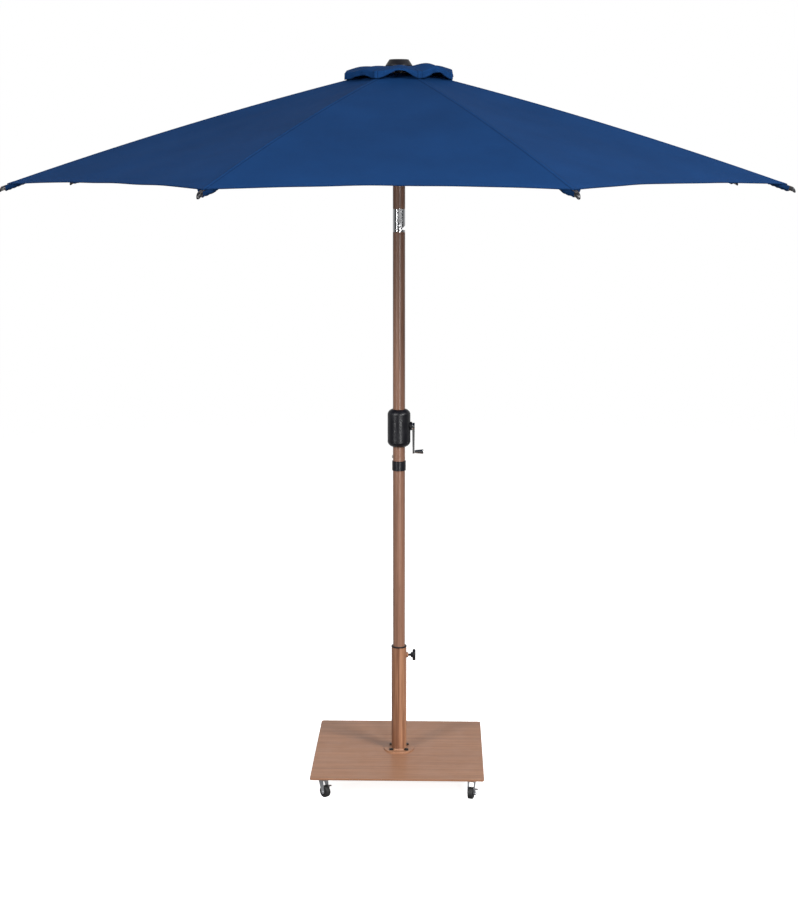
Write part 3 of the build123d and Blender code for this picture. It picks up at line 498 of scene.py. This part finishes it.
def knee_rivets(fittings, number, finish):
    """The two heads of a knee's rivet: low domes, whose height is a quarter circle of the radius."""
    x, y, z = JOINTS[f"strut_hinge_{number}"]["pos_m"]
    face = 0.005
    slope = np.linspace(0, pi / 2, 8)[:, None]
    turn = np.linspace(0, 2 * pi, 21)[None, :-1]
    for side in (-1, 1):
        radius = fittings.rivet * np.cos(slope) + 1e-5
        proud = face + 0.38 * fittings.rivet * np.sin(slope)
        out = hypot(x, y) + radius * np.cos(turn)
        up = z + radius * np.sin(turn)
        rings = at_rib(rib_angle(number), out, side * proud + 0 * turn, up)
        swept_tube(f"knee_rivet_{number}_{'left' if side > 0 else 'right'}", rings, f"rib_arm_{number}",
                   finish)


def weld_bead(fittings, finish):
    """The weld round the foot of the stem: a ring whose round section swells and shrinks with each drop."""
    flange_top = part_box("stem_flange")[1].z
    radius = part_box("stem_tube")[1].y
    around = np.linspace(0, 2 * pi, 361)[:-1][:, None]
    turn = np.linspace(0, 2 * pi, 15)[None, :-1]
    section = fittings.bead * (1 + 0.12 * np.abs(np.sin(28 * around)) + 0.05 * np.sin(3 * around))
    reach = radius + 0.0006 + section * np.cos(turn)
    up = flange_top + section * np.sin(turn)
    points = np.stack([reach * np.cos(around), reach * np.sin(around), up], axis=-1)
    rows, columns = points.shape[:2]
    rolled = np.concatenate([points, points[:1]])
    piece = make_piece("weld_bead", rolled, grid_quads(rows + 1, columns, closed=True), "stand",
                       finish)
    merge_close_points(piece)


# ---- finishes ---------------------------------------------------------------


def new_finish(name):
    """A node material with one Principled shader: the material, its nodes' tree and the shader."""
    finish = bpy.data.materials.new(name)
    finish.use_nodes = True
    return finish, finish.node_tree, finish.node_tree.nodes["Principled BSDF"]


def add_node(tree, kind, inputs=None, **settings):
    """A shader node; each input is given a value, or linked where the value is another node's output."""
    made = tree.nodes.new(kind)
    for key, value in settings.items():
        setattr(made, key, value)
    for key, value in (inputs or {}).items():
        if isinstance(value, bpy.types.NodeSocket):
            tree.links.new(value, made.inputs[key])
        else:
            made.inputs[key].default_value = value
    return made


def maths(tree, operation, first, second=0.0):
    return add_node(tree, "ShaderNodeMath", {0: first, 1: second}, operation=operation).outputs[0]


def step(tree, value, low, high, to_low=0.0, to_high=1.0):
    """Smooth step of a value from low to high."""
    return add_node(tree, "ShaderNodeMapRange", {"Value": value, "From Min": low, "From Max": high,
                                                 "To Min": to_low, "To Max": to_high},
                    interpolation_type="SMOOTHSTEP").outputs["Result"]


def blend_colours(tree, factor, first, second, mode="MIX"):
    made = add_node(tree, "ShaderNodeMix", data_type="RGBA", blend_type=mode)
    for index, value in ((0, factor), (6, first), (7, second)):
        if isinstance(value, bpy.types.NodeSocket):
            tree.links.new(value, made.inputs[index])
        else:
            made.inputs[index].default_value = value
    return made.outputs[2]


def rgba(rgb, scale=1.0):
    return (rgb[0] * scale, rgb[1] * scale, rgb[2] * scale, 1.0)


def stretched_noise(tree, vector, scale, size=1.0, detail=4.0, roughness=0.55):
    """Noise on coordinates that are scaled along each axis, which draws it out where the scale is small."""
    mapping = add_node(tree, "ShaderNodeMapping", {"Vector": vector, "Scale": scale})
    return add_node(tree, "ShaderNodeTexNoise", {"Vector": mapping.outputs["Vector"], "Scale": size,
                                                 "Detail": detail, "Roughness": roughness}).outputs["Fac"]


def object_place(tree):
    return add_node(tree, "ShaderNodeTexCoord").outputs["Object"]


def set_bump(tree, shader, height, strength, distance):
    bump = add_node(tree, "ShaderNodeBump", {"Height": height, "Strength": strength, "Distance": distance})
    tree.links.new(bump.outputs["Normal"], shader.inputs["Normal"])


SEAM_SHADE_LINE = 0.0072        # from the rib's line to the painted shade line beside the seam
SEAM_STITCHES = 0.0045      # from the rib's line to the seam's row of stitches
HEM_STITCHES = 0.0165       # from the hem to its row of stitches
STITCH = 0.0034             # one stitch and its gap
ROW_EDGES = (0.0003, 0.0006)  # half width of a row, and where it has faded out


def canopy_cloth(name, navy):
    """Solution-dyed canopy cloth: plain weave with slubs, faint mottling, a painted shade line beside each
    seam, two rows of stitches in the seam, one row in the hem, and painted shadow along the hem's edge.
    Reads the cut pattern: u across from the rib's line, v in from the hem."""
    finish, tree, shader = new_finish(name)
    cut = add_node(tree, "ShaderNodeUVMap", uv_map="cut").outputs["UV"]
    parts = add_node(tree, "ShaderNodeSeparateXYZ", {"Vector": cut})
    from_rib = maths(tree, "ABSOLUTE", parts.outputs["X"])
    from_hem = parts.outputs["Y"]
    warp = stretched_noise(tree, cut, (900, 14, 1), detail=2)
    weft = stretched_noise(tree, cut, (14, 900, 1), detail=2)
    slubs = maths(tree, "ADD", warp, weft)
    mottle = stretched_noise(tree, object_place(tree), (5, 5, 5), detail=5, roughness=0.6)
    tone = maths(tree, "ADD", maths(tree, "MULTIPLY", slubs, 0.25), maths(tree, "MULTIPLY", mottle, 0.5))
    cloth = blend_colours(tree, step(tree, tone, 0.3, 0.7), rgba(navy, 0.88), rgba(navy, 1.14))
    # painted shade: a dark line beside each seam stands in for the shade of the crease there
    seam_shade = maths(tree, "ABSOLUTE", maths(tree, "SUBTRACT", from_rib, SEAM_SHADE_LINE))
    seam_shade = step(tree, seam_shade, 0.0004, 0.0022, 1.0, 0.0)
    # painted shadow: the cloth is darkened along the hem's edge, where the hem casts shade
    edge = step(tree, from_hem, 0.0015, 0.0040, 1.0, 0.0)
    # painted shade: both dark lines mix the cloth towards a fifth of its colour
    dark = maths(tree, "MAXIMUM", maths(tree, "MULTIPLY", seam_shade, 0.55), maths(tree, "MULTIPLY", edge, 0.6))
    cloth = blend_colours(tree, dark, cloth, rgba(navy, 0.2))
    seam_row = step(tree, maths(tree, "ABSOLUTE", maths(tree, "SUBTRACT", from_rib, SEAM_STITCHES)),
                    *ROW_EDGES, 1.0, 0.0)
    seam_wave = maths(tree, "SINE", maths(tree, "MULTIPLY", from_hem, 2 * pi / STITCH))
    seam_dash = step(tree, seam_wave, -0.6, -0.2)
    hem_row = step(tree, maths(tree, "ABSOLUTE", maths(tree, "SUBTRACT", from_hem, HEM_STITCHES)),
                   *ROW_EDGES, 1.0, 0.0)
    hem_dash = step(tree, maths(tree, "SINE", maths(tree, "MULTIPLY", from_rib, 2 * pi / STITCH)), -0.6, -0.2)
    stitches = maths(tree, "MAXIMUM", maths(tree, "MULTIPLY", seam_row, seam_dash),
                     maths(tree, "MULTIPLY", hem_row, hem_dash))
    cloth = blend_colours(tree, maths(tree, "MULTIPLY", stitches, 0.6), cloth, rgba(navy, 1.7))
    tree.links.new(cloth, shader.inputs["Base Color"])
    over = add_node(tree, "ShaderNodeTexWave", {"Vector": cut, "Scale": 262.0}, bands_direction="X")
    across = add_node(tree, "ShaderNodeTexWave", {"Vector": cut, "Scale": 262.0}, bands_direction="Y")
    weave = maths(tree, "MULTIPLY", over.outputs["Fac"], across.outputs["Fac"])
    height = maths(tree, "ADD", maths(tree, "MULTIPLY", weave, 0.25), maths(tree, "MULTIPLY", slubs, 0.2))
    height = maths(tree, "ADD", height, maths(tree, "MULTIPLY", stitches, 1.0))
    set_bump(tree, shader, height, 0.5, 0.0004)
    shader.inputs["Roughness"].default_value = 0.82
    shader.inputs["Specular IOR Level"].default_value = 0.06
    return finish


def wood_print(name, light, dark, along, gloss=0.38, strength=1.0):
    """Printed wood grain under a satin coat: streaks drawn out along one axis, broad bands of tone, and fine
    dark pores. along is the axis's number."""
    finish, tree, shader = new_finish(name)
    place = object_place(tree)

    def drawn(across, lengthwise):
        scale = [across] * 3
        scale[along] = lengthwise
        return tuple(scale)

    bands = stretched_noise(tree, place, drawn(55, 1.3), detail=6, roughness=0.62)
    streaks = stretched_noise(tree, place, drawn(210, 4.5), detail=5, roughness=0.6)
    pores = stretched_noise(tree, place, drawn(700, 22), detail=3, roughness=0.5)
    tone = maths(tree, "ADD", maths(tree, "MULTIPLY", bands, 0.6), maths(tree, "MULTIPLY", streaks, 0.4))
    spread = 0.16 / strength
    grain = blend_colours(tree, step(tree, tone, 0.5 - spread, 0.5 + spread), rgba(dark), rgba(light))
    pore_marks = step(tree, pores, 0.60, 0.72)
    grain = blend_colours(tree, maths(tree, "MULTIPLY", pore_marks, 0.55), grain, rgba(dark, 0.45))
    tree.links.new(grain, shader.inputs["Base Color"])
    wear = stretched_noise(tree, place, (14, 14, 14), detail=3)
    rough = step(tree, wear, 0.3, 0.7, gloss - 0.05, gloss + 0.07)
    tree.links.new(rough, shader.inputs["Roughness"])
    set_bump(tree, shader, maths(tree, "ADD", streaks, maths(tree, "MULTIPLY", pores, 0.4)), 0.12, 0.0004)
    shader.inputs["Coat Weight"].default_value = 0.25
    shader.inputs["Coat Roughness"].default_value = 0.22
    return finish


def plated(name, base, roughness, smear=0.05, mottled=0.06):
    """Plated metal: bright, with smudges that change its gloss and fine polishing lines."""
    finish, tree, shader = new_finish(name)
    place = object_place(tree)
    smudge = stretched_noise(tree, place, (38, 38, 24), detail=4)
    lines = stretched_noise(tree, place, (60, 60, 1800), detail=2)
    smudged = step(tree, smudge, 0.35, 0.7)
    tint = blend_colours(tree, smudged, rgba(base, 1 + mottled), rgba(base, 1 - mottled))
    tree.links.new(tint, shader.inputs["Base Color"])
    tree.links.new(step(tree, smudge, 0.3, 0.75, roughness, roughness + smear), shader.inputs["Roughness"])
    set_bump(tree, shader, lines, 0.05, 0.0001)
    shader.inputs["Metallic"].default_value = 1.0
    return finish


def moulded(name, base, roughness=0.36, grain=0.12, grain_size=2600.0):
    """Moulded plastic: an even spark-eroded texture, a little dust in broad patches, and a soft gloss."""
    finish, tree, shader = new_finish(name)
    place = object_place(tree)
    cells = add_node(tree, "ShaderNodeTexVoronoi", {"Vector": place, "Scale": grain_size})
    dust = stretched_noise(tree, place, (26, 26, 26), detail=5)
    tint = blend_colours(tree, step(tree, dust, 0.45, 0.8), rgba(base), rgba([c * 1.4 + 0.002 for c in base]))
    tree.links.new(tint, shader.inputs["Base Color"])
    tree.links.new(step(tree, dust, 0.3, 0.8, roughness - 0.05, roughness + 0.12), shader.inputs["Roughness"])
    set_bump(tree, shader, cells.outputs["Distance"], grain, 0.0002)
    return finish


def painted(name, base, roughness=0.4, metallic=0.0):
    """Satin paint over metal: orange-peel ripple and slightly worn patches."""
    finish, tree, shader = new_finish(name)
    place = object_place(tree)
    peel = stretched_noise(tree, place, (900, 900, 900), detail=2)
    worn = stretched_noise(tree, place, (30, 30, 30), detail=5)
    tint = blend_colours(tree, step(tree, worn, 0.5, 0.8), rgba(base), rgba([c * 1.35 + 0.01 for c in base]))
    tree.links.new(tint, shader.inputs["Base Color"])
    tree.links.new(step(tree, worn, 0.3, 0.75, roughness, roughness + 0.12), shader.inputs["Roughness"])
    set_bump(tree, shader, peel, 0.1, 0.0002)
    shader.inputs["Metallic"].default_value = metallic
    return finish


def coat_node(node_name, finish):
    """Gives a finish to every material slot of a CAD node."""
    node = frame["nodes"][node_name]
    if not node.material_slots:
        node.data.materials.append(finish)
    for slot in node.material_slots:
        slot.material = finish


# ---- operators --------------------------------------------------------------


def settings(group):
    return getattr(bpy.context.scene, group)


FINISHES = {}


def cloth_finish():
    if "canopy_cloth" not in FINISHES:
        FINISHES["canopy_cloth"] = canopy_cloth("canopy_cloth", settings("umbrella_canopy").navy)
    return FINISHES["canopy_cloth"]


def plastic_finish():
    if "black_moulding" not in FINISHES:
        FINISHES["black_moulding"] = moulded("black_moulding", settings("umbrella_finishes").plastic)
    return FINISHES["black_moulding"]


class UMBRELLA_OT_main_canopy(bpy.types.Operator):
    """Make the eight gores of the main canopy"""
    bl_idname = "umbrella.main_canopy"
    bl_label = "Main canopy"

    def execute(self, context):
        for number in RIB_NUMBERS:
            main_gore(settings("umbrella_canopy"), number, cloth_finish())
        return {"FINISHED"}


class UMBRELLA_OT_vent_tier(bpy.types.Operator):
    """Make the eight gores of the vent tier"""
    bl_idname = "umbrella.vent_tier"
    bl_label = "Vent tier"

    def execute(self, context):
        for number in RIB_NUMBERS:
            vent_gore(settings("umbrella_canopy"), settings("umbrella_vent"), number, cloth_finish())
        return {"FINISHED"}


class UMBRELLA_OT_crown_cloth(bpy.types.Operator):
    """Make the cloth ring under the cap"""
    bl_idname = "umbrella.crown_cloth"
    bl_label = "Crown cloth"

    def execute(self, context):
        crown_cloth(settings("umbrella_canopy"), settings("umbrella_vent"), cloth_finish())
        return {"FINISHED"}


class UMBRELLA_OT_corner_pockets(bpy.types.Operator):
    """Make the sewn pockets at the canopy's corners"""
    bl_idname = "umbrella.corner_pockets"
    bl_label = "Corner pockets"

    def execute(self, context):
        navy = settings("umbrella_canopy").navy
        darker = canopy_cloth("pocket_cloth", [value * 0.55 for value in navy])
        for number in RIB_NUMBERS:
            corner_pocket(settings("umbrella_canopy"), settings("umbrella_fittings"), number, darker)
        return {"FINISHED"}


class UMBRELLA_OT_rib_sleeves(bpy.types.Operator):
    """Make the sleeves that the ribs lie in, under the seams"""
    bl_idname = "umbrella.rib_sleeves"
    bl_label = "Rib sleeves"

    def execute(self, context):
        for number in RIB_NUMBERS:
            rib_sleeve(settings("umbrella_canopy"), settings("umbrella_fittings"), number, cloth_finish())
        return {"FINISHED"}


class UMBRELLA_OT_rib_tips(bpy.types.Operator):
    """Make the plastic tips of the ribs"""
    bl_idname = "umbrella.rib_tips"
    bl_label = "Rib tips"

    def execute(self, context):
        for number in RIB_NUMBERS:
            rib_tip(settings("umbrella_canopy"), settings("umbrella_fittings"), number, plastic_finish())
        return {"FINISHED"}


class UMBRELLA_OT_rivets(bpy.types.Operator):
    """Make the rivet heads at the knees of the ribs"""
    bl_idname = "umbrella.rivets"
    bl_label = "Knee rivets"

    def execute(self, context):
        steel = plated("rivet_steel", (0.42, 0.42, 0.43), 0.35)
        for number in RIB_NUMBERS:
            knee_rivets(settings("umbrella_fittings"), number, steel)
        return {"FINISHED"}


class UMBRELLA_OT_pole_and_base(bpy.types.Operator):
    """Give the poles, the stem and the plate their printed grain, and make the weld bead"""
    bl_idname = "umbrella.pole_and_base"
    bl_label = "Pole and base"

    def execute(self, context):
        tones = settings("umbrella_finishes")
        pole = wood_print("pole_grain", tones.pole_light, tones.pole_dark, 2, strength=0.8)
        stem = wood_print("stem_grain", tones.stem_light, tones.stem_dark, 2, strength=1.3)
        plate = wood_print("plate_grain", tones.plate_light, tones.plate_dark, 0, gloss=0.45, strength=0.7)
        for name in ("lower_pole", "middle_pole", "upper_pole"):
            coat_node(name, pole)
        coat_node("stem_tube", stem)
        coat_node("stem_flange", plate)
        coat_node("base_plate", plate)
        coat_node("flange_bolts", painted("bolt_black", (0.02, 0.02, 0.02), 0.35, 0.6))
        weld_bead(settings("umbrella_fittings"), plate)
        return {"FINISHED"}


class UMBRELLA_OT_mouldings(bpy.types.Operator):
    """Give the plastic parts their moulded finish"""
    bl_idname = "umbrella.mouldings"
    bl_label = "Plastic parts"

    def execute(self, context):
        for name in ("stem_collar", "clamp_knob", "pole_coupling", "crank_case_front", "crank_case_back",
                     "top_hub", "top_cap", "runner"):
            coat_node(name, plastic_finish())
        coat_node("crank_spool", moulded("grey_nylon", (0.32, 0.32, 0.32), 0.5))
        return {"FINISHED"}


class UMBRELLA_OT_metalwork(bpy.types.Operator):
    """Give the tilt joint, the crank, the ribs and the struts their metal finishes"""
    bl_idname = "umbrella.metalwork"
    bl_label = "Metalwork"

    def execute(self, context):
        tones = settings("umbrella_finishes")
        chrome = plated("chrome", tones.chrome, 0.16)
        for name in ("tilt_socket", "tilt_core", "crank_arm", "crank_grip"):
            coat_node(name, chrome)
        bright = plated("bright_steel", (0.85, 0.85, 0.86), 0.2)
        coat_node("tilt_button", bright)
        coat_node("tilt_pin", bright)
        coat_node("snap_button", plated("pin_steel", (0.5, 0.5, 0.5), 0.3))
        coat_node("joint_spigot", plated("spigot_steel", (0.5, 0.5, 0.5), 0.35))
        bronze = painted("rib_paint", (0.095, 0.072, 0.058), 0.38)
        for number in RIB_NUMBERS:
            coat_node(f"rib_{number}", bronze)
            coat_node(f"strut_{number}", bronze)
        return {"FINISHED"}


class UMBRELLA_OT_casters(bpy.types.Operator):
    """Give the casters their zinc and rubber"""
    bl_idname = "umbrella.casters"
    bl_label = "Casters"

    def execute(self, context):
        zinc = plated("zinc_plate", (0.66, 0.67, 0.70), 0.42, 0.12, 0.12)
        rubber = moulded("wheel_rubber", (0.02, 0.02, 0.021), 0.6, 0.3, 1500.0)
        coat_node("caster_mounts", zinc)
        for name in frame["nodes"]:
            if name.startswith(("caster_fork", "brake_lever")):
                coat_node(name, zinc)
            if name.startswith("caster_wheel"):
                coat_node(name, rubber)
        return {"FINISHED"}


def aim(thing, target):
    """Turns an object so that its -Z looks at a point."""
    thing.rotation_euler = (Vector(target) - thing.location).to_track_quat("-Z", "Y").to_euler()


def softbox(name, place, target, size, power):
    """A rectangular studio light that the camera doesn't see."""
    light = bpy.data.lights.new(name, "AREA")
    light.shape = "RECTANGLE"
    light.size, light.size_y = size
    light.energy = power
    lamp = bpy.data.objects.new(name, light)
    lamp.location = place
    bpy.context.scene.collection.objects.link(lamp)
    aim(lamp, target)
    lamp.visible_camera = False


def glow(name, strength, base):
    """A matt white stage finish that also gives off light of its own."""
    finish, tree, shader = new_finish(name)
    shader.inputs["Base Color"].default_value = (base, base, base, 1)
    shader.inputs["Roughness"].default_value = 0.9
    shader.inputs["Specular IOR Level"].default_value = 0.05
    shader.inputs["Emission Color"].default_value = (1, 1, 1, 1)
    shader.inputs["Emission Strength"].default_value = strength
    return finish, tree, shader


def stage_surface(name, points, finish):
    mesh = bpy.data.meshes.new(name)
    mesh.from_pydata(points.reshape(-1, 3), [], grid_quads(*points.shape[:2], closed=True))
    mesh.materials.append(finish)
    made = bpy.data.objects.new(name, mesh)
    bpy.context.scene.collection.objects.link(made)
    return made


def studio_floor(studio):
    """A flat disc on the floor's level, whose material fades into the backdrop far out."""
    reach = np.concatenate([[0.0], np.geomspace(0.5, studio.floor, 24)])[:, None]
    turn = np.linspace(0, 2 * pi, 97)[None, :-1]
    points = np.stack(np.broadcast_arrays(reach * np.cos(turn), reach * np.sin(turn), -0.0004), axis=-1)
    finish, tree, shader = glow("studio_floor", studio.floor_glow, 0.9)
    reached = add_node(tree, "ShaderNodeVectorMath", {0: object_place(tree)}, operation="LENGTH")
    fade = step(tree, reached.outputs["Value"], 0.3 * studio.floor, 0.95 * studio.floor, 1.0, 0.0)
    tree.links.new(fade, shader.inputs["Alpha"])
    floor = stage_surface("studio_floor", points, finish)
    floor.visible_diffuse = False
    floor.visible_glossy = False


def studio_backdrop(studio):
    """A wide white sphere round the studio, which only the camera sees."""
    tilt = np.linspace(-pi / 2, pi / 2, 33)[:, None]
    turn = np.linspace(0, 2 * pi, 65)[None, :-1]
    reach = 5 * studio.floor
    points = reach * np.stack(np.broadcast_arrays(np.cos(tilt) * np.cos(turn), np.cos(tilt) * np.sin(turn),
                                                  np.sin(tilt)), axis=-1)
    backdrop = stage_surface("studio_backdrop", points, glow("studio_backdrop", 1.0, 0.0)[0])
    backdrop.visible_diffuse = False
    backdrop.visible_glossy = False
    backdrop.visible_transmission = False
    backdrop.visible_shadow = False


def studio_world(studio):
    """White light from behind and less from the front, so that metal and plastic keep dark reflections."""
    world = bpy.data.worlds.new("studio")
    world.use_nodes = True
    tree = world.node_tree
    towards = add_node(tree, "ShaderNodeTexCoord").outputs["Generated"]
    parts = add_node(tree, "ShaderNodeSeparateXYZ", {"Vector": towards})
    strength = step(tree, parts.outputs["Y"], -0.4, 0.8, studio.front_surround, studio.surround)
    tree.nodes["Background"].inputs["Color"].default_value = (1.0, 1.0, 1.0, 1)
    tree.links.new(strength, tree.nodes["Background"].inputs["Strength"])
    return world


# name, place, the point it faces, width and height, watts
SOFTBOXES = (
    ("key", (3.6, -3.2, 4.6), (0, 0, 1.9), (1.8, 1.8), 300),
    ("fill", (-3.2, -3.9, 3.9), (0, 0, 1.9), (1.6, 1.6), 130),
    ("strip_left", (-2.9, -3.4, 1.5), (0, 0, 1.4), (0.25, 4.2), 50),
    ("strip_right", (1.35, -4.2, 1.5), (0, 0, 1.4), (0.25, 4.2), 110),
)


class UMBRELLA_OT_studio(bpy.types.Operator):
    """Make the floor, the lights, the background and the camera"""
    bl_idname = "umbrella.studio"
    bl_label = "Studio"

    def execute(self, context):
        studio = settings("umbrella_studio")
        scene = context.scene
        studio_floor(studio)
        studio_backdrop(studio)
        scene.world = studio_world(studio)
        for box in SOFTBOXES:
            softbox(*box)
        camera = bpy.data.cameras.new("camera")
        camera.sensor_width = 36
        camera.lens = studio.focal
        camera.shift_y = studio.shift
        holder = bpy.data.objects.new("camera", camera)
        side = studio.camera_side
        holder.location = (studio.camera_distance * sin(side), -studio.camera_distance * cos(side),
                           studio.camera_height)
        holder.rotation_euler = (pi / 2 - studio.camera_pitch, 0, side)
        scene.collection.objects.link(holder)
        scene.camera = holder
        scene.view_settings.view_transform = "Standard"
        return {"FINISHED"}


OPERATORS = (
    UMBRELLA_OT_main_canopy,
    UMBRELLA_OT_vent_tier,
    UMBRELLA_OT_crown_cloth,
    UMBRELLA_OT_corner_pockets,
    UMBRELLA_OT_rib_sleeves,
    UMBRELLA_OT_rib_tips,
    UMBRELLA_OT_rivets,
    UMBRELLA_OT_pole_and_base,
    UMBRELLA_OT_mouldings,
    UMBRELLA_OT_metalwork,
    UMBRELLA_OT_casters,
    UMBRELLA_OT_studio,
)


class UMBRELLA_PT_sidebar(bpy.types.Panel):
    """Lists the umbrella's operators and settings"""
    bl_idname = "UMBRELLA_PT_sidebar"
    bl_label = "Patio umbrella"
    bl_space_type = "VIEW_3D"
    bl_region_type = "UI"
    bl_category = "Umbrella"

    def draw(self, context):
        for operator in OPERATORS:
            self.layout.operator(operator.bl_idname)
        for group, properties in GROUPS.items():
            box = self.layout.box()
            for name in properties.__annotations__:
                box.prop(getattr(context.scene, group), name)


def register():
    for group, properties in GROUPS.items():
        bpy.utils.register_class(properties)
        setattr(bpy.types.Scene, group, PointerProperty(type=properties))
    for operator in OPERATORS:
        bpy.utils.register_class(operator)
    bpy.utils.register_class(UMBRELLA_PT_sidebar)


def unregister():
    bpy.utils.unregister_class(UMBRELLA_PT_sidebar)
    for operator in reversed(OPERATORS):
        bpy.utils.unregister_class(operator)
    for group, properties in GROUPS.items():
        delattr(bpy.types.Scene, group)
        bpy.utils.unregister_class(properties)


def main():
    register()
    bpy.ops.umbrella.main_canopy()
    bpy.ops.umbrella.vent_tier()
    bpy.ops.umbrella.crown_cloth()
    bpy.ops.umbrella.corner_pockets()
    bpy.ops.umbrella.rib_sleeves()
    bpy.ops.umbrella.rib_tips()
    bpy.ops.umbrella.rivets()
    bpy.ops.umbrella.pole_and_base()
    bpy.ops.umbrella.mouldings()
    bpy.ops.umbrella.metalwork()
    bpy.ops.umbrella.casters()
    bpy.ops.umbrella.studio()


if __name__ == "__main__":
    main()
